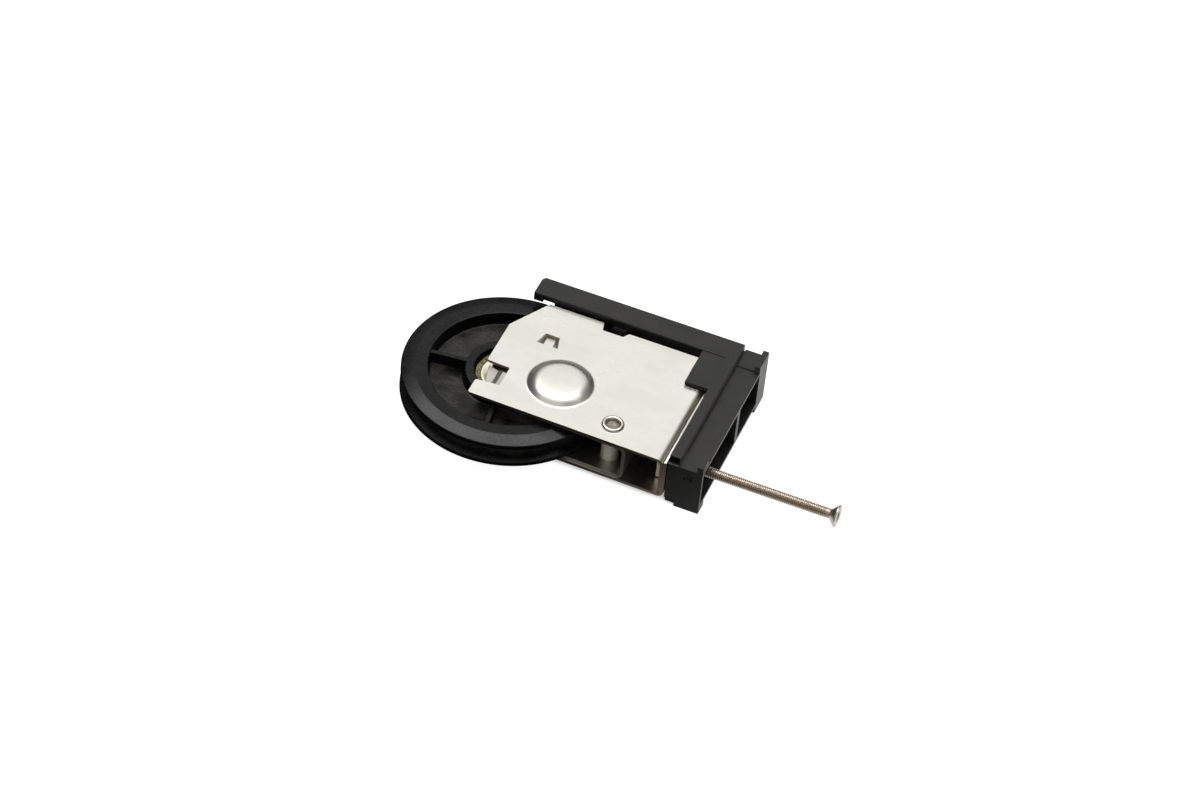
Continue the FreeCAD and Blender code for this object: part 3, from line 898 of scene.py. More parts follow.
@dataclass(frozen=True)
class Finishes:
    """The finishes of all the pieces."""

    sheet: SheetSteel = SheetSteel("bright_sheet", "plate_steel")
    # the yoke's steel is the plates' steel darkened: painted shade, as the yoke lies in shade
    # between the plates
    inner: SheetSteel = SheetSteel(
        "shade_darkened_inner_sheet", "plate_steel", face=(0.46, 0.44, 0.40, 1.0),
        shade=(0.36, 0.34, 0.31, 1.0), edge=(0.42, 0.37, 0.32, 1.0), roughness=0.30)
    frame: MouldedPlastic = MouldedPlastic("frame_plastic", "black_plastic")
    wheel: MouldedPlastic = MouldedPlastic(
        "wheel_plastic_satin", "wheel_plastic", base=(0.0016, 0.0017, 0.0020, 1.0),
        worn=(0.016, 0.016, 0.018, 1.0), roughness=0.23, grain_mm=0.008, rubbed=0.35,
        end_sheen_share=0.0, dusty_below_mm=1.2, shine=0.22)
    # the rivet's hollow takes painted shade
    rivet: TurnedMetal = TurnedMetal(
        "rolled_rivet_steel", "rivet_steel", colour=(0.64, 0.60, 0.54, 1.0), roughness=0.24,
        hollow_mm=(7.9, 9.1), matt_within_mm=7.0)
    axle: TurnedMetal = TurnedMetal(
        "greasy_axle_steel", "rivet_steel", colour=(0.16, 0.14, 0.11, 1.0),
        grime=(0.03, 0.025, 0.02, 1.0), roughness=0.40, grime_share=0.8)
    race: TurnedMetal = TurnedMetal(
        "greasy_race_steel", "race_steel", colour=(0.26, 0.225, 0.14, 1.0),
        grime=(0.045, 0.042, 0.012, 1.0), roughness=0.34, grime_share=1.0, grain_mm=0.02,
        stain=Pattern(1.5, 4.0, 0.6, fade=(0.42, 0.56)))
    shield: TurnedMetal = TurnedMetal(
        "pressed_shield_steel", "shield_steel", colour=(0.84, 0.80, 0.66, 1.0), roughness=0.26,
        grime_share=0.1, grain_mm=0.0001)
    ball: TurnedMetal = TurnedMetal(
        "polished_ball_steel", "ball_steel", colour=(0.78, 0.78, 0.77, 1.0), roughness=0.08,
        grime_share=0.05)
    cage: MouldedPlastic = MouldedPlastic(
        "natural_cage_plastic", "cage_plastic", base=(0.62, 0.58, 0.46, 1.0),
        worn=(0.52, 0.48, 0.36, 1.0), roughness=0.42, end_sheen_share=0.0)
    screw: ThreadedNickel = ThreadedNickel("nickel_thread", "screw_nickel")
    nut: TurnedMetal = TurnedMetal("nickel_nut", "screw_nickel")


# The wheel and its bearing


@dataclass
class WheelSet:
    """The moulded wheel with the bearing in its hub."""

    radius: float = 38.0
    face: float = 6.0
    rim_edge: float = 4.9
    face_radius: float = 33.1
    groove_mouth: float = 3.2
    groove_floor: float = 1.3
    groove_depth: float = 4.5
    recess_radius: float = 28.4
    web: float = 0.9
    hub_radius: float = 15.6
    hub: float = 5.4
    hub_chamfer: float = 0.45
    bore: float = 11.7
    rib_width: float = 2.0
    rib_count: int = 4
    first_rib: float = 7.0
    rib_taper: float = 0.2
    draft: float = 0.35
    hub_round: float = 0.15
    lip_round: float = 0.35
    root_round: float = 0.8
    face_round: float = 0.6
    rim_round: float = 0.45
    groove_round: float = 0.7
    edge_round: float = 0.18
    race_wall: float = 2.8
    race_half: float = 3.5
    race_chamfer: float = 0.4
    step_chamfer: float = 0.12
    shield_low: float = 2.8
    shield_high: float = 3.1
    shield_radius: float = 9.5
    shield_bore: float = 6.35
    shield_roll: float = 0.35
    shield_bead: float = 0.10
    shield_dish: float = 0.12
    shield_step: Span = (7.9, 8.2)

    def profile(self) -> list[Point]:
        """The upper half of the wheel's section, from the bore to the groove's floor.

        Returns:
            The points of the outline, in millimetres.
        """
        groove = self.radius - self.groove_depth
        corners = [
            ((self.bore, 0.0), 0.0),
            ((self.bore, self.hub - self.hub_chamfer), 0.0),
            ((self.bore + self.hub_chamfer, self.hub), self.hub_round),
            ((self.hub_radius - self.draft, self.hub), self.lip_round),
            ((self.hub_radius, self.web), self.root_round),
            ((self.recess_radius - self.draft, self.web), self.root_round),
            ((self.recess_radius, self.face), self.lip_round),
            ((self.face_radius, self.face), self.face_round),
            ((self.radius, self.rim_edge), self.rim_round),
            ((self.radius, self.groove_mouth), self.rim_round),
            ((groove, self.groove_floor), self.groove_round),
            ((groove, 0.0), 0.0),
        ]
        points, radii = zip(*corners)
        return rounded(points, radii, 4)[1:-1]

    def build(self, fitter: Fitter, finishes: Finishes) -> None:
        """Models the wheel, the outer race and the two shields.

        Args:
            fitter: what puts a finished piece in the place of its CAD nodes.
            finishes: the finishes by their names.
        """
        wheel = Bench.lathe("moulded_wheel", mirrored(self.profile()), steps=144)
        for index in range(self.rib_count):
            turn = self.first_rib + index * 360.0 / self.rib_count
            Bench.combine(wheel, self.rib(turn), Cut.ADD)
        Bench.clean(wheel)
        Bench.soften(wheel, self.edge_round)
        Bench.smooth(wheel)
        fitter.deliver(wheel, "wheel", finishes.wheel, ["wheel"])
        fitter.deliver(self.outer_race(), "wheel", finishes.race, ["bearing_outer_race"])
        for side in Side:
            node = f"bearing_shield_{side.name.lower()}"
            fitter.deliver(self.shield(side), "wheel", finishes.shield, [node])

    def rib(self, turn: float) -> bpy.types.Object:
        """One rib across the recess, thinner at its two free faces.

        Args:
            turn: how far round the wheel the rib stands.

        Returns:
            The finished mesh.
        """
        half, thin = self.rib_width / 2, self.rib_width / 2 - self.rib_taper
        section = [(-half, 0.0), (-thin, self.hub), (thin, self.hub), (half, 0.0),
                   (thin, -self.hub), (-thin, -self.hub)]
        start, end = self.hub_radius - PAST, self.recess_radius + PAST
        rib = Bench.prism("rib", section, start, end, Axis.X)
        rib.data.transform(Matrix.Rotation(math.radians(turn), 4, "Z"))
        return rib

    def outer_race(self) -> bpy.types.Object:
        """The bearing's outer ring, with a step that holds each shield.

        Returns:
            The finished mesh.
        """
        shoulder, step, chamfer = self.bore - self.race_wall, self.step_chamfer, self.race_chamfer
        upper = [
            (shoulder, self.shield_low),
            (self.shield_radius, self.shield_low),
            (self.shield_radius, self.race_half - step),
            (self.shield_radius + step, self.race_half),
            (self.bore - chamfer, self.race_half),
            (self.bore, self.race_half - chamfer),
        ]
        race = Bench.lathe("ground_outer_race", mirrored(upper))
        Bench.smooth(race, Bench.turned_angle)
        return race

    def shield(self, side: Side) -> bpy.types.Object:
        """A pressed shield: a rolled rim, a shallow step and a small turned-in lip.

        Args:
            side: which side of the roller it lies on.

        Returns:
            The finished mesh.
        """
        top, dished = self.shield_high, self.shield_high - self.shield_dish
        inner, outer = self.shield_step
        slack = self.shield_bead / 5
        section = [
            (self.shield_radius, top - slack),
            (self.shield_radius - self.shield_roll, top + self.shield_bead),
            (self.shield_radius - self.shield_roll * 2, top),
            (outer, top - slack),
            (inner, dished),
            (self.shield_bore + self.shield_bead, dished),
            (self.shield_bore, self.shield_low),
            (self.shield_radius, self.shield_low),
        ]
        shield = Bench.lathe(f"pressed_shield_{side.name.lower()}", on_side(section, side))
        Bench.smooth(shield, Bench.turned_angle)
        return shield


@dataclass
class AxleSet:
    """The axle, its spacers, the inner race, the balls and their cage."""

    radius: float = 4.0
    reach: float = 6.25
    spin_radius: float = 2.6
    spin_width: float = 0.3
    spin_depth: float = 0.25
    dimple: float = 1.5
    dimple_depth: float = 0.5
    set_back: float = 0.05
    fine_chamfer: float = 0.15
    race_radius: float = 6.1
    race_half: float = 3.5
    race_chamfer: float = 0.2
    ball_circle: float = 7.5
    groove_radius: float = 2.03
    groove_half_turn: float = 44.0
    spacer_radius: float = 5.8
    spacer_high: float = 5.5

    def build(self, fitter: Fitter, finishes: Finishes) -> None:
        """Models the axle, spacers and inner race, and dresses what stays hidden.

        Args:
            fitter: what puts a finished piece in the place of its CAD nodes.
            finishes: the finishes by their names.
        """
        fitter.deliver(self.axle(), "carriage", finishes.axle, ["axle"])
        for side in Side:
            node = f"axle_spacer_{side.name.lower()}"
            fitter.deliver(self.spacer(side), "carriage", finishes.axle, [node])
        fitter.deliver(self.inner_race(), "carriage", finishes.race, ["bearing_inner_race"])
        Dresser.dress("bearing_balls", finishes.ball)
        Dresser.dress("bearing_cage", finishes.cage)

    def axle(self) -> bpy.types.Object:
        """The riveted axle: flush ends with the ring that the spinning tool leaves.

        Returns:
            The finished mesh.
        """
        floor = self.reach - self.set_back
        half = [
            (self.radius, self.reach - self.fine_chamfer),
            (self.radius - self.fine_chamfer, self.reach),
            (self.spin_radius + self.spin_width, self.reach),
            (self.spin_radius, self.reach - self.spin_depth),
            (self.spin_radius - self.spin_width, floor),
            (self.dimple, floor),
            (0.0, self.reach - self.dimple_depth),
        ]
        axle = Bench.lathe("riveted_axle", reflected(half) + half, closed=False, steps=64)
        Bench.smooth(axle, Bench.turned_angle)
        return axle

    def spacer(self, side: Side) -> bpy.types.Object:
        """One spacer between the inner race and the yoke's leg.

        Args:
            side: which side of the roller it lies on.

        Returns:
            The finished mesh.
        """
        low, high, chamfer = self.race_half, self.spacer_high, self.fine_chamfer
        edge = self.spacer_radius - chamfer
        ring = [
            (self.radius, low), (edge, low), (self.spacer_radius, low + chamfer),
            (self.spacer_radius, high - chamfer), (edge, high), (self.radius, high),
        ]
        name = f"turned_spacer_{side.name.lower()}"
        spacer = Bench.lathe(name, on_side(ring, side), steps=64)
        Bench.smooth(spacer, Bench.turned_angle)
        return spacer

    def inner_race(self) -> bpy.types.Object:
        """The bearing's inner ring.

        Returns:
            The finished mesh.
        """
        chamfer = self.race_chamfer
        upper = [
            (self.race_radius, self.race_half - chamfer),
            (self.race_radius - chamfer, self.race_half),
            (self.radius + chamfer, self.race_half),
            (self.radius, self.race_half - chamfer),
        ]
        start, end = 180.0 + self.groove_half_turn, 180.0 - self.groove_half_turn
        groove = arc((self.ball_circle, 0.0), self.groove_radius, start, end, 10)
        race = Bench.lathe("ground_inner_race", mirrored(upper) + groove, steps=72)
        Bench.smooth(race, Bench.turned_angle)
        return race


class Dresser:
    """Gives a carried-over CAD node its finish."""

    @staticmethod
    def dress(node: str, finish: Finish) -> None:
        """Puts the finish in every material slot of the node.

        Args:
            node: the node's name.
            finish: the finish.
        """
        piece = FRAME["nodes"][node]
        for slot in piece.material_slots:
            slot.material = finish.material()
        LOG.info("%s is dressed in %s", node, finish.name)


# The steel box


@dataclass
class SteelBox:
    """The two side plates, the yoke between them and the tubular rivet."""

    sheet: float = 1.2
    outside: float = 8.75
    left: float = -7.4
    front: float = -21.1
    front_left: float = -19.7
    back: float = 34.5
    back_right: float = 33.0
    flange_face: float = 68.6
    flange_back: float = 23.6
    flange_trim: float = 0.6
    flange_short: float = 0.7
    tongue_right: float = 66.0
    back_notch: Span = (23.6, 31.5)
    back_notch_floor: float = 30.6
    back_notch_splay: Span = (0.8, 1.4)
    chamfer_start: float = 18.5
    chamfer_end: float = 1.7
    axle_notch: float = 1.4
    axle_notch_back: Span = (-1.7, -2.15)
    axle_notch_front: Span = (-12.7, -11.8)
    bend_outside: float = 2.6
    bend_inside: float = 1.4
    edge_round: float = 0.14
    cut_round: float = 0.4
    dome: tuple[float, float] = (20.5, -1.5)
    dome_radius: float = 12.1
    dome_top: float = 6.9
    crown_angle: float = 2.5
    shoulder_round: float = 7.2
    dome_slope: float = 36.0
    toe_round: float = 1.5
    dome_height: float = 2.35
    dome_margin: float = 0.6
    dome_thinning: float = 0.95
    clinch: tuple[float, float] = (8.7, 17.2)
    clinch_half: float = 2.75
    strap_half: float = 4.7
    strap_back: float = 3.0
    strap_flat: float = 1.75
    strap_drop: float = 1.4
    strap_curve: float = 1.8
    strap_steps: int = 60
    strap_body: float = 3.4
    strap_overlap: float = 0.3
    strap_slack: float = 0.02
    rivet: tuple[float, float] = (44.65, -12.0)
    rivet_radius: float = 3.2
    rivet_bore: float = 2.4
    rivet_rim: float = 4.1
    rivet_rise: float = 0.8
    rivet_hollow: float = 1.5
    rivet_floor_round: float = 0.4
    rivet_floor_rise: float = 0.1
    rivet_seat: Span = (0.02, 0.05)
    rivet_undercut: float = 0.08
    pivot: tuple[float, float] = (62.5, 27.0)
    pivot_radius: float = 3.1
    screw_y: float = -10.3
    screw_hole: float = 2.5
    screw_hole_depth: Span = (64.0, 70.0)
    yoke_left: float = -1.5
    yoke_nose: float = 6.4
    joggle: float = 0.8
    joggle_from: float = -0.5
    joggle_run: float = 1.7
    joggle_round: float = 0.8
    nose_tip: float = -14.5
    yoke_front: float = -20.5
    yoke_front_left: float = -18.6
    yoke_back: float = 24.0
    yoke_web: float = 52.8
    axle_slot: Span = (2.6, 3.0)
    axle_slot_front: tuple[float, float, float] = (-1.9, -2.2, -4.6)
    window_gap: float = 0.15

    @property
    def inside(self) -> float:
        """The height of a side plate's inner face."""
        return self.outside - self.sheet

    def build(self, fitter: Fitter, finishes: Finishes) -> None:
        """Models the plates, the yoke and the rivet.

        Args:
            fitter: what puts a finished piece in the place of its CAD nodes.
            finishes: the finishes by their names.
        """
        for side in Side:
            node = f"{side.name.lower()}_side_plate"
            fitter.deliver(self.plate(side), "carriage", finishes.sheet, [node])
        fitter.deliver(self.yoke(), "carriage", finishes.inner, ["wheel_yoke"])
        fitter.deliver(self.rolled_rivet(), "carriage", finishes.rivet, ["tubular_rivet"])

    def plate_outline(self) -> list[Point]:
        """A side plate seen from above, with its small corner roundings.

        Returns:
            The points of the outline, in millimetres.
        """
        end, notch, floor = self.flange_face + PAST, self.back_notch, self.back_notch_floor
        corners = [
            ((self.left, self.front_left), 0.9),
            ((end, self.front), 0.0),
            ((end, self.flange_back), 0.0),
            ((self.tongue_right, self.flange_back), 0.4),
            ((self.tongue_right, self.back_right), 0.6),
            ((notch[1] + self.back_notch_splay[1], self.back_right), 0.5),
            ((notch[1], floor), 0.5),
            ((notch[0], floor), 0.5),
            ((notch[0] - self.back_notch_splay[0], self.back), 0.6),
            ((self.chamfer_end, self.back), 1.0),
            ((self.left, self.chamfer_start), 1.0),
            ((self.left, self.axle_notch_back[0]), 0.8),
            ((self.axle_notch, self.axle_notch_back[1]), 0.5),
            ((self.axle_notch, self.axle_notch_front[1]), 0.5),
            ((self.left, self.axle_notch_front[0]), 0.8),
        ]
        points, radii = zip(*corners)
        return rounded(points, radii, 4)

    def plate_section(self, side: Side) -> list[Point]:
        """A side plate with its end flange, seen from the front.

        Args:
            side: which side of the roller it lies on.

        Returns:
            The points of the outline, in millimetres.
        """
        right, end = self.flange_face, self.flange_trim - self.outside
        if side is Side.UPPER:
            right, end = self.flange_face - self.sheet, self.flange_short - self.inside
        left, bend, tip = self.left - PAST, right - self.sheet, self.cut_round
        corners = [(left, self.inside), (bend, self.inside), (bend, end), (right, end),
                   (right, self.outside), (left, self.outside)]
        radii = [0, self.bend_inside, tip, tip, self.bend_outside, 0]
        return on_side(rounded(corners, radii, 8), side)

    def plate(self, side: Side) -> bpy.types.Object:
        """One side plate: bent, cut to its outline, pierced, domed and clinched.

        Args:
            side: which side of the roller it lies on.

        Returns:
            The finished mesh.
        """
        name = f"pressed_{side.name.lower()}_plate"
        section, reach = self.plate_section(side), self.outside + PAST
        plate = Bench.prism(name, section, self.front - PAST, self.back + PAST, Axis.Y)
        Bench.combine(plate, Bench.prism("outline", self.plate_outline(), -reach, reach), Cut.KEEP)
        low, high = sorted((side.value * (self.inside - PAST), side.value * reach))
        dome_hole = self.dome_radius + self.dome_margin
        for centre, radius in ((self.rivet, self.rivet_radius), (self.pivot, self.pivot_radius),
                               (self.dome, dome_hole)):
            Bench.combine(plate, Bench.rod("hole", centre, radius, low, high, steps=72), Cut.TAKE)
        hole = Bench.rod("screw_hole", (self.screw_y, 0.0), self.screw_hole,
                         *self.screw_hole_depth, Axis.X)
        Bench.combine(plate, hole, Cut.TAKE)
        Bench.combine(plate, self.dome_shell(side), Cut.ADD)
        Bench.combine(plate, self.strap(side), Cut.ADD)
        Bench.clean(plate)
        Bench.soften(plate, self.edge_round)
        Bench.combine(plate, self.dip(side), Cut.TAKE)
        Bench.smooth(plate)
        return plate

    def dome_shell(self, side: Side) -> bpy.types.Object:
        """The pressed dome: a faintly crowned top, a soft shoulder, a cone and a tight foot.

        Args:
            side: which side of the roller it lies on.

        Returns:
            The finished mesh.
        """
        rise, toe = self.outside + self.dome_height, self.toe_round
        crown, slope = math.radians(self.crown_angle), math.radians(self.dome_slope)
        steep, flat = 90.0 - self.dome_slope, 90.0 - self.crown_angle
        ball = self.dome_top / math.sin(crown)
        upper = arc((0.0, rise - ball), ball, 90.0, flat, 6)
        turned = Vector((math.sin(crown), math.cos(crown))) * self.shoulder_round
        upper += arc(tuple(Vector(upper[-1]) - turned), self.shoulder_round, flat, steep, 9)[1:]
        fall = upper[-1][1] - self.outside - toe * (1.0 - math.cos(slope))
        centre = upper[-1][0] + fall / math.tan(slope) + toe * math.sin(slope)
        upper += arc((centre, self.outside + toe), toe, 180.0 + steep, 270.0, 6)
        foot = self.dome_radius + self.dome_margin + 0.05
        thinned = [(radius * self.dome_thinning, height - self.sheet)
                   for radius, height in reversed(upper[:-2])]
        ring = on_side(upper + [(foot, self.outside), (foot, self.inside)] + thinned, side)
        return Bench.lathe("dome", ring, centre=(*self.dome, 0.0), closed=False)

    def dip_line(self, reach: float) -> list[Point]:
        """The clinch's upper face from end to end: a soft dip with a flat floor.

        Args:
            reach: how far the line goes to either side of the clinch's middle.

        Returns:
            The points of the line, in millimetres.
        """
        run = self.strap_half - self.strap_flat
        line = []
        for index in range(self.strap_steps + 1):
            offset = reach * (2.0 * index / self.strap_steps - 1.0)
            share = min(max((self.strap_half - abs(offset)) / run, 0.0), 1.0)
            drop = self.strap_drop * share ** self.strap_curve
            line.append((self.clinch[0] + offset, self.outside - drop))
        return line

    def across_clinch(self, name: str, line: Sequence[Point], level: float, half: float,
                      side: Side) -> bpy.types.Object:
        """A block as wide as the clinch, between a line and a level.

        Args:
            name: the block's name.
            line: the line that bounds it on one side.
            level: the height that bounds it on the other.
            half: half its width.
            side: which side of the roller it lies on.

        Returns:
            The block.
        """
        section = [(line[0][0], level)] + list(line) + [(line[-1][0], level)]
        y = self.clinch[1]
        return Bench.prism(name, on_side(section, side), y - half, y + half, Axis.Y)

    def strap(self, side: Side) -> bpy.types.Object:
        """The clinch's metal where it is drawn in below the plate.

        Args:
            side: which side of the roller it lies on.

        Returns:
            The strap.
        """
        upper = self.dip_line(self.strap_body)
        lower = [(across, height - self.sheet) for across, height in upper]
        half = self.clinch_half - self.strap_slack
        return self.across_clinch("strap", lower, self.inside + self.strap_overlap, half, side)

    def dip(self, side: Side) -> bpy.types.Object:
        """What the clinch takes out of the plate's outer face, between its two cuts.

        Args:
            side: which side of the roller it lies on.

        Returns:
            The solid that is cut away.
        """
        line = self.dip_line(self.strap_half - self.strap_slack / 2)
        dip = self.across_clinch("dip", line, self.outside + PAST, self.clinch_half, side)
        x, y = self.clinch
        for vertex in dip.data.vertices:
            if vertex.co.y > y:
                vertex.co.x = x + self.narrowed(vertex.co.x - x)
        return dip

    def narrowed(self, offset: float) -> float:
        """Where a point of the dip's front end lies at its back end, whose slopes are shorter.

        Args:
            offset: the point's distance from the clinch's middle, with its sign.

        Returns:
            The same at the back end.
        """
        ratio = (self.strap_back - self.strap_flat) / (self.strap_half - self.strap_flat)
        beyond = max(abs(offset) - self.strap_flat, 0.0)
        return math.copysign(min(abs(offset), self.strap_flat) + beyond * ratio, offset)

    def yoke(self) -> bpy.types.Object:
        """The inner yoke: a bent U with joggled noses, cut to the outline of its legs.

        Returns:
            The finished mesh.
        """
        yoke = self.bent_yoke()
        x, y = self.clinch
        half, long = self.clinch_half + self.window_gap, self.strap_half + self.window_gap
        far, reach = -self.yoke_nose - PAST, self.outside
        mouth, waist, deep = self.axle_slot_front
        end, back = self.axle_slot
        slot = [(far, mouth), (-self.yoke_nose, waist), (end, deep), (end, back), (far, back)]
        Bench.combine(yoke, Bench.prism("legs", self.leg_outline(), -reach, reach), Cut.KEEP)
        window = Bench.box("window", (x - long, y - half, -reach), (x + long, y + half, reach))
        for tool in (Bench.prism("axle_slot", slot, -reach, reach),
                     Bench.rod("rivet_hole", self.rivet, self.rivet_radius, -reach, reach),
                     window):
            Bench.combine(yoke, tool, Cut.TAKE)
        Bench.clean(yoke)
        Bench.soften(yoke, self.edge_round)
        Bench.smooth(yoke)
        return yoke

    def bent_yoke(self) -> bpy.types.Object:
        """The yoke's sheet as it is bent, before its legs are cut: web, legs and joggles.

        Returns:
            The bent sheet.
        """
        inside, inner, web = self.inside, self.inside - self.sheet, self.yoke_web
        far, start = -self.yoke_nose - PAST, self.joggle_from
        end, low, deep = start - self.joggle_run, inside - self.joggle, inner - self.joggle
        leg = [(far, low), (far, deep), (end, deep), (start, inner), (web - self.sheet, inner)]
        outer = [(end, -low), (start, -inside), (web, -inside), (web, inside), (start, inside),
                 (end, low)]
        soft, tight, wide = self.joggle_round, self.bend_inside, self.bend_outside
        radii = [0, 0, soft, soft, tight, tight, soft, soft, 0, 0, soft, soft, wide, wide, soft,
                 soft]
        section = rounded(leg + reflected(leg) + outer, radii, 7)
        front, back = self.yoke_front - PAST, self.yoke_back + PAST
        return Bench.prism("bent_yoke", section, front, back, Axis.Y)

    def leg_outline(self) -> list[Point]:
        """The outline of the yoke's legs, with the nose that carries the axle.

        Returns:
            The points of the outline, in millimetres.
        """
        nose, far = self.yoke_nose, self.yoke_web + PAST
        corners = [
            ((self.yoke_left, self.yoke_back), 0.0),
            ((self.yoke_left, nose), 0.5),
            ((-nose, nose * 0.6), 3.0),
            ((-nose, -2.0), 2.0),
            ((-nose + 1.4, -9.0), 4.0),
            ((-nose + 2.6, -12.5), 1.5),
            ((self.yoke_left, self.nose_tip), 0.5),
            ((self.yoke_left, self.yoke_front_left), 0.0),
            ((far, self.yoke_front), 0.0),
            ((far, self.yoke_back), 0.0),
        ]
        points, radii = zip(*corners)
        return rounded(points, radii, 5)

    def rolled_rivet(self) -> bpy.types.Object:
        """The tubular rivet, its two ends rolled over into round rims.

        Returns:
            The finished mesh.
        """
        middle = (self.rivet_bore + self.rivet_rim) / 2
        roll = (self.rivet_rim - self.rivet_bore) / 2
        seat, (under, over) = self.outside, self.rivet_seat
        rim = arc((middle, seat + over), roll, 0.0, 180.0, 10)
        floor = seat + self.rivet_rise - self.rivet_hollow
        squash = self.rivet_rise / roll
        upper = [(self.rivet_radius, seat - under),
                 (self.rivet_rim - self.rivet_undercut, seat - under)]
        upper += [(radius, seat + (height - seat) * squash) for radius, height in rim]
        upper += [(self.rivet_bore, floor + self.rivet_floor_round),
                  (self.rivet_bore - self.rivet_floor_round, floor),
                  (0.0, floor + self.rivet_floor_rise)]
        rivet = Bench.lathe("rolled_rivet", reflected(upper) + upper, centre=(*self.rivet, 0.0),
                            closed=False, steps=64)
        Bench.smooth(rivet, 60.0)
        return rivet


# The adjustment


@dataclass
class Adjuster:
    """The countersunk adjusting screw with its real thread, and the bar nut."""

    tip: float = 59.5
    length: float = 70.0
    axis_y: float = -10.3
    crest: float = 1.98
    root: float = 1.66
    pitch: float = 0.7
    thread_start: float = 0.5
    head_radius: float = 4.2
    head_edge: float = 0.5
    neck_radius: float = 1.75
    neck_length: float = 1.6
    thread_steps: int = 20
    tooth: tuple[float, float, float, float] = (1.0, 3.4, 4.6, 7.0)
    tip_radius: float = 1.45
    tip_chamfer: float = 0.35
    core_slack: float = 0.02
    edge_slack: float = 0.05
    head_chamfer: Span = (0.12, 0.15)
    recess_reach: float = 2.2
    recess_blade: float = 0.95
    recess_depth: float = 1.7
    recess_taper: float = 0.45
    recess_turn: float = 20.0
    nut_round: float = 0.2

    def build(self, fitter: Fitter, finishes: Finishes) -> None:
        """Models the screw and refines the nut.

        Args:
            fitter: what puts a finished piece in the place of its CAD nodes.
            finishes: the finishes by their names.
        """
        head = self.head()
        Bench.join(head, self.thread())
        head.name = "threaded_screw"
        fitter.deliver(head, "screw", finishes.screw, ["adjusting_screw"])
        nut = Bench.copy_node("square_edged_nut", "adjusting_nut")
        Bench.soften(nut, self.nut_round)
        Bench.smooth(nut)
        fitter.deliver(nut, "nut", finishes.nut, ["adjusting_nut"])

    @property
    def end(self) -> float:
        """Where the head ends."""
        return self.tip + self.length

    @property
    def neck(self) -> float:
        """Where the head's cone begins."""
        return self.end - self.head_edge - (self.head_radius - self.neck_radius)

    @property
    def thread_end(self) -> float:
        """Where the thread runs out, at the plain neck."""
        return self.neck - self.neck_length

    def thread(self) -> bpy.types.Object:
        """The helical thread: one tooth swept by the Screw modifier, its ends cut flat.

        Returns:
            The finished mesh.
        """
        rise, *crest, fall = (place * self.pitch / 8 for place in self.tooth)
        tooth = [(self.root, 0.0), (self.root, rise), (self.crest, crest[0]),
                 (self.crest, crest[1]), (self.root, fall), (self.root, self.pitch)]
        piece = Bench.chain("thread", [Vector((radius, 0, height)) for radius, height in tooth])
        turns = math.ceil((self.thread_end - self.tip) / self.pitch) + 2
        sweep = piece.modifiers.new("helix", "SCREW")
        sweep.axis = "Z"
        sweep.screw_offset = self.pitch
        sweep.iterations = turns
        sweep.steps = self.thread_steps
        sweep.render_steps = self.thread_steps
        sweep.use_merge_vertices = True
        sweep.merge_threshold = Bench.weld
        bpy.ops.object.modifier_apply(modifier=sweep.name)
        Bench.lay(piece, Axis.X)
        piece.data.transform(Matrix.Translation((self.tip - self.pitch, self.axis_y, 0.0)))
        Bench.clean(piece)
        for place, outer in ((self.tip + self.thread_start, False), (self.thread_end, True)):
            with Bench.editing(piece):
                bpy.ops.mesh.bisect(plane_co=(place, 0, 0), plane_no=(1, 0, 0), use_fill=True,
                                    clear_inner=not outer, clear_outer=outer)
        Bench.smooth(piece, 25.0)
        return piece

    def head(self) -> bpy.types.Object:
        """The plain parts: the chamfered tip, a core, the neck and the countersunk head.

        Returns:
            The finished mesh.
        """
        end, edge, core = self.end, self.end - self.head_edge, self.root - self.core_slack
        slack, (rim, chamfer) = self.edge_slack, self.head_chamfer
        line = [
            (0.0, self.tip), (self.tip_radius, self.tip),
            (self.root + slack, self.tip + self.tip_chamfer), (core, self.tip + 0.6),
            (core, self.thread_end - 0.3), (self.neck_radius, self.thread_end),
            (self.neck_radius, self.neck), (self.head_radius - slack, edge - slack),
            (self.head_radius, edge + slack), (self.head_radius, end - rim),
            (self.head_radius - chamfer, end), (0.0, end),
        ]
        head = Bench.lathe("head", line, axis=Axis.X, centre=(0.0, self.axis_y, 0.0),
                           closed=False, steps=64)
        for turn in (0.0, 90.0):
            Bench.combine(head, self.blade(turn + self.recess_turn), Cut.TAKE)
        Bench.clean(head)
        Bench.soften(head, 0.05, 1, 45.0)
        Bench.smooth(head, Bench.turned_angle)
        return head

    def blade(self, turn: float) -> bpy.types.Object:
        """One tapered blade of the tool that presses the cross recess.

        Args:
            turn: how far round the head the blade stands.

        Returns:
            The blade.
        """
        reach, half = self.recess_reach, self.recess_blade / 2
        mouth, floor = self.end + 0.1, self.end - self.recess_depth
        short = reach * self.recess_taper
        outline = [(-reach, mouth), (reach, mouth), (short, floor), (-short, floor)]
        blade = Bench.prism("blade", outline, -half, half)
        blade.data.transform(Matrix(((0, 1, 0, 0), (1, 0, 0, 0), (0, 0, 1, 0), (0, 0, 0, 1))))
        blade.data.transform(Matrix.Rotation(math.radians(turn), 4, "X"))
        blade.data.transform(Matrix.Translation((0.0, self.axis_y, 0.0)))
        Bench.clean(blade)
        return blade


# The moulded frame


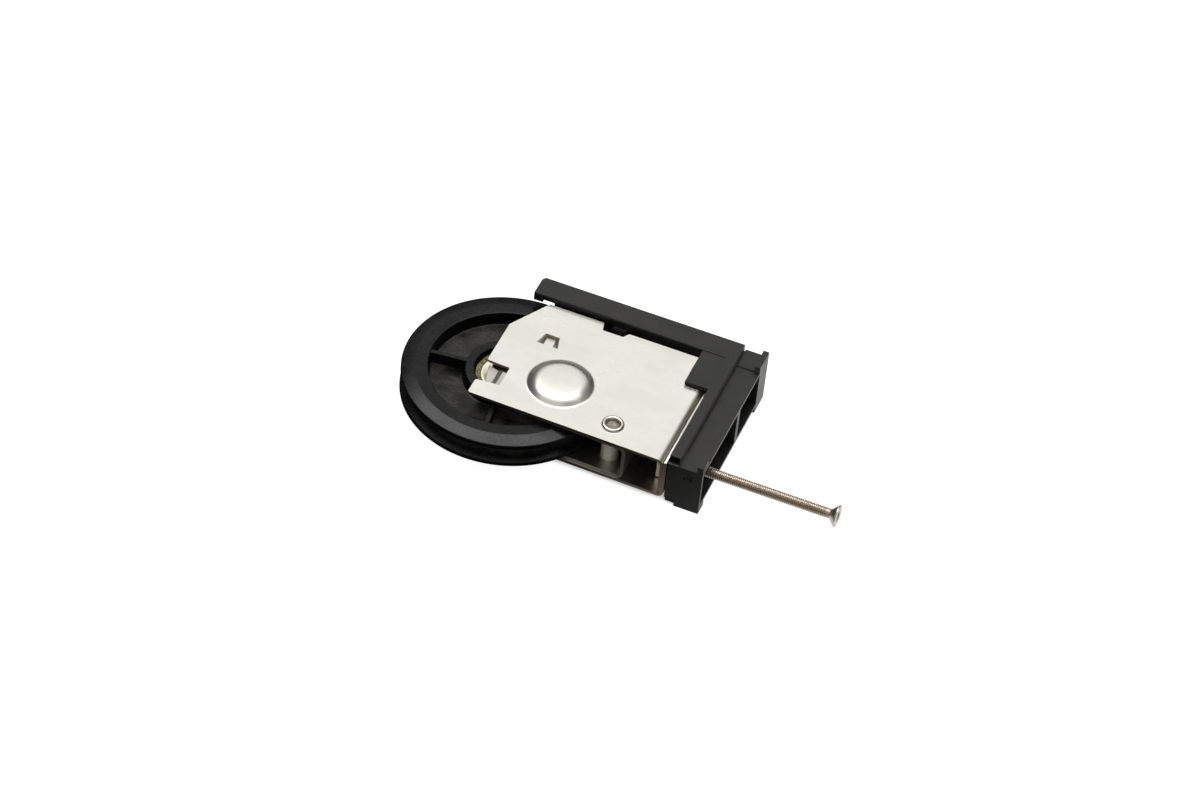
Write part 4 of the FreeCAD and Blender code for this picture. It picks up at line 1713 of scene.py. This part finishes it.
@dataclass
class GuideFrame:
    """The black moulded frame: end block, channel arm and corner tabs."""

    arm_end: tuple[float, float] = (-5.0, 44.7)
    end_round: float = 2.4
    half: float = 11.1
    edge_round: float = 0.22

    def build(self, fitter: Fitter, finishes: Finishes) -> None:
        """Rounds the arm's outer corner, and every edge of the moulding a little.

        Args:
            fitter: what puts a finished piece in the place of its CAD nodes.
            finishes: the finishes by their names.
        """
        frame = Bench.copy_node("moulded_frame", "guide_frame")
        x, y = self.arm_end
        middle = (x + self.end_round, y - self.end_round)
        far, reach = x - PAST, self.half + PAST
        corner = [(far, middle[1]), (far, y + PAST), (middle[0], y + PAST)]
        corner += arc(middle, self.end_round, 90.0, 180.0, 6)
        Bench.combine(frame, Bench.prism("corner", corner, -reach, reach), Cut.TAKE)
        Bench.soften(frame, self.edge_round)
        Bench.smooth(frame)
        fitter.deliver(frame, "frame", finishes.frame, ["guide_frame"])


# The photograph's view and the studio


@dataclass
class PhotoCamera:
    """A camera where the photograph's stood, fitted to the wheel and the box."""

    image: tuple[int, int] = (1200, 800)
    focal_pixels: float = 5000.0
    elevation: float = 44.34
    azimuth: float = 17.34
    roll: float = 6.57
    distance: float = 1774.2
    origin_pixel: tuple[float, float] = (506.96, 380.50)
    sensor: float = 36.0
    far_limit: float = 20.0

    def build(self) -> None:
        """Creates the camera and makes it the scene's."""
        tilt, turn, roll = (math.radians(a) for a in (self.elevation, self.azimuth, self.roll))
        level = math.cos(tilt)
        back = Vector((math.sin(turn) * level, -math.cos(turn) * level, math.sin(tilt)))
        right = Vector((math.cos(turn), math.sin(turn), 0.0))
        up = back.cross(right).normalized()
        right_rolled = math.cos(roll) * right + math.sin(roll) * up
        up_rolled = math.cos(roll) * up - math.sin(roll) * right
        shift_x = (self.origin_pixel[0] - self.image[0] / 2) / self.focal_pixels * self.distance
        shift_y = (self.origin_pixel[1] - self.image[1] / 2) / self.focal_pixels * self.distance
        place = self.distance * back - shift_x * right_rolled + shift_y * up_rolled
        turned = Matrix((right_rolled, up_rolled, back)).transposed().to_4x4()
        data = bpy.data.cameras.new("photo_camera")
        data.sensor_width = self.sensor
        data.sensor_fit = "HORIZONTAL"
        data.lens = self.focal_pixels * self.sensor / self.image[0]
        data.clip_end = self.far_limit
        camera = bpy.data.objects.new("photo_camera", data)
        camera.matrix_world = Matrix.Translation(place * MM) @ turned
        bpy.context.scene.collection.objects.link(camera)
        bpy.context.scene.camera = camera


@dataclass(frozen=True)
class Lamp:
    """A square soft light that matt surfaces see: its place and size in metres, and its watts."""

    name: str
    place: tuple[float, float, float]
    size: float
    power: float
    aim: tuple[float, float, float] = (0.04, 0.0, 0.0)

    def build(self) -> None:
        """Creates the lamp, pointed at the roller."""
        data = bpy.data.lights.new(self.name, "AREA")
        data.shape = "SQUARE"
        data.size = self.size
        data.energy = self.power
        lamp = bpy.data.objects.new(self.name, data)
        lamp.visible_glossy = False
        turned = (Vector(self.aim) - Vector(self.place)).to_track_quat("-Z", "Y")
        lamp.matrix_world = Matrix.Translation(self.place) @ turned.to_matrix().to_4x4()
        bpy.context.scene.collection.objects.link(lamp)


@dataclass
class Studio:
    """A white ground under soft light, with a sky that gloss sees as brighter and darker parts."""

    ground: float = -11.1
    ground_half: float = 4.0
    paper: float = 0.50
    glow: float = 0.88
    slot_depth: float = 5.0
    slot_samples: int = 8
    slot_edge: tuple[float, float] = (0.10, 0.45)
    behind: float = 1.0
    in_front: float = 0.02
    fade: tuple[float, float] = (0.0, 0.12)
    ambient: float = 0.50
    low_sky: float = 0.07
    high_sky: float = 0.86
    front_rise: tuple[float, float] = (0.12, 0.36)
    front_share: float = 0.62
    back_rise: tuple[float, float] = (0.24, 0.50)
    back: tuple[float, float] = (-0.50, -0.14)
    left_side: tuple[float, float] = (-0.70, -0.45)
    right_side: tuple[float, float] = (0.08, 0.36)
    right_dim: float = 0.82
    panel_height: tuple[float, float] = (0.70, 0.82)
    panel_front: tuple[float, float] = (-0.06, 0.12)
    panel_back: tuple[float, float] = (0.37, 0.51)
    panel_glow: float = 5.5
    lamps: tuple[Lamp, ...] = (
        Lamp("top_light", (-0.10, 0.30, 1.10), 1.2, 5.0),
        Lamp("front_light", (0.35, -0.80, 0.75), 0.8, 2.0),
    )

    def build(self) -> None:
        """Builds the ground, the sky and the lamps."""
        self.build_ground()
        self.build_sky()
        for lamp in self.lamps:
            lamp.build()
        bpy.context.scene.view_settings.view_transform = "Standard"

    def build_ground(self) -> None:
        """A wide white ground that gloss sees best behind, its glow darkened by ambient occlusion
        in narrow slots as a painted contact shadow.
        """
        bpy.ops.object.select_all(action="DESELECT")
        place = (0, 0, self.ground * MM)
        bpy.ops.mesh.primitive_plane_add(size=self.ground_half * 2, location=place)
        ground = Bench.named("ground")
        bpy.ops.object.transform_apply(location=True, rotation=False, scale=False)
        material = bpy.data.materials.new("white_ground")
        material.use_nodes = True
        graph = Graph(material.node_tree)
        path = graph.node("ShaderNodeLightPath")
        # painted shadow: ambient occlusion darkens the ground's glow, and what gloss sees of it,
        # in narrow slots under the roller
        slots = graph.node("ShaderNodeAmbientOcclusion", {"samples": self.slot_samples},
                           {"Distance": self.slot_depth * MM})
        clear = slots.out("AO").span(*self.slot_edge)
        across, along, _ = graph.split(graph.place())
        far = (along + across).span(*self.fade) * (self.behind - self.in_front) + self.in_front
        seen = path.out("Is Camera Ray") * self.glow * clear
        matt = graph.node("ShaderNodeBsdfDiffuse", None, {"Color": grey(self.paper)})
        shine, mirrored_in = (
            graph.node("ShaderNodeEmission", None, {"Color": grey(1.0), "Strength": strength})
            for strength in (seen, far * clear))
        both = graph.node("ShaderNodeAddShader", None, (matt.out(0), shine.out(0)))
        surface = graph.node("ShaderNodeMixShader", None,
                             (path.out("Is Glossy Ray"), both.out(0), mirrored_in.out(0)))
        graph.node("ShaderNodeOutputMaterial", None, {"Surface": surface.out(0)})
        ground.data.materials.append(material)

    def build_sky(self) -> None:
        """The surroundings: plain for matt surfaces, and for gloss a high, dim-sided sky."""
        world = bpy.data.worlds.new("studio")
        world.use_nodes = True
        bpy.context.scene.world = world
        graph = Graph(world.node_tree)
        direction = graph.node("ShaderNodeTexCoord").out("Generated")
        across, along, height = graph.split(direction)
        path = graph.node("ShaderNodeLightPath")
        gloss = path.out("Is Glossy Ray")
        right = across.span(*self.right_side) * self.right_dim
        sides = across.span(*self.left_side) * (1.0 - right)
        front = height.span(*self.front_rise) * self.front_share
        rear = height.span(*self.back_rise) * sides
        rise = front + along.span(*self.back) * (rear - front)
        panel = along.span(*self.panel_front) * (1.0 - along.span(*self.panel_back))
        panel = panel * height.span(*self.panel_height) * sides
        sky = self.low_sky + rise * (self.high_sky - self.low_sky) + panel * self.panel_glow
        plain = path.out("Is Camera Ray").lifted(self.ambient)
        strength = gloss * sky + (1.0 - gloss) * plain
        background = graph.node("ShaderNodeBackground", None,
                                {"Color": grey(1.0), "Strength": strength})
        graph.node("ShaderNodeOutputWorld", None, {"Surface": background.out(0)})


def main() -> None:
    """Builds the view, the studio and every piece."""
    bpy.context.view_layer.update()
    PhotoCamera().build()
    Studio().build()
    finishes = Finishes()
    fitter = Fitter()
    for part in (WheelSet(), AxleSet(), SteelBox(), Adjuster(), GuideFrame()):
        part.build(fitter, finishes)
    LOG.info("%d pieces are fitted", fitter.count)


if __name__ == "__main__":
    logging.basicConfig(level=logging.INFO, format="%(message)s")
    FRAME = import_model()
    main()
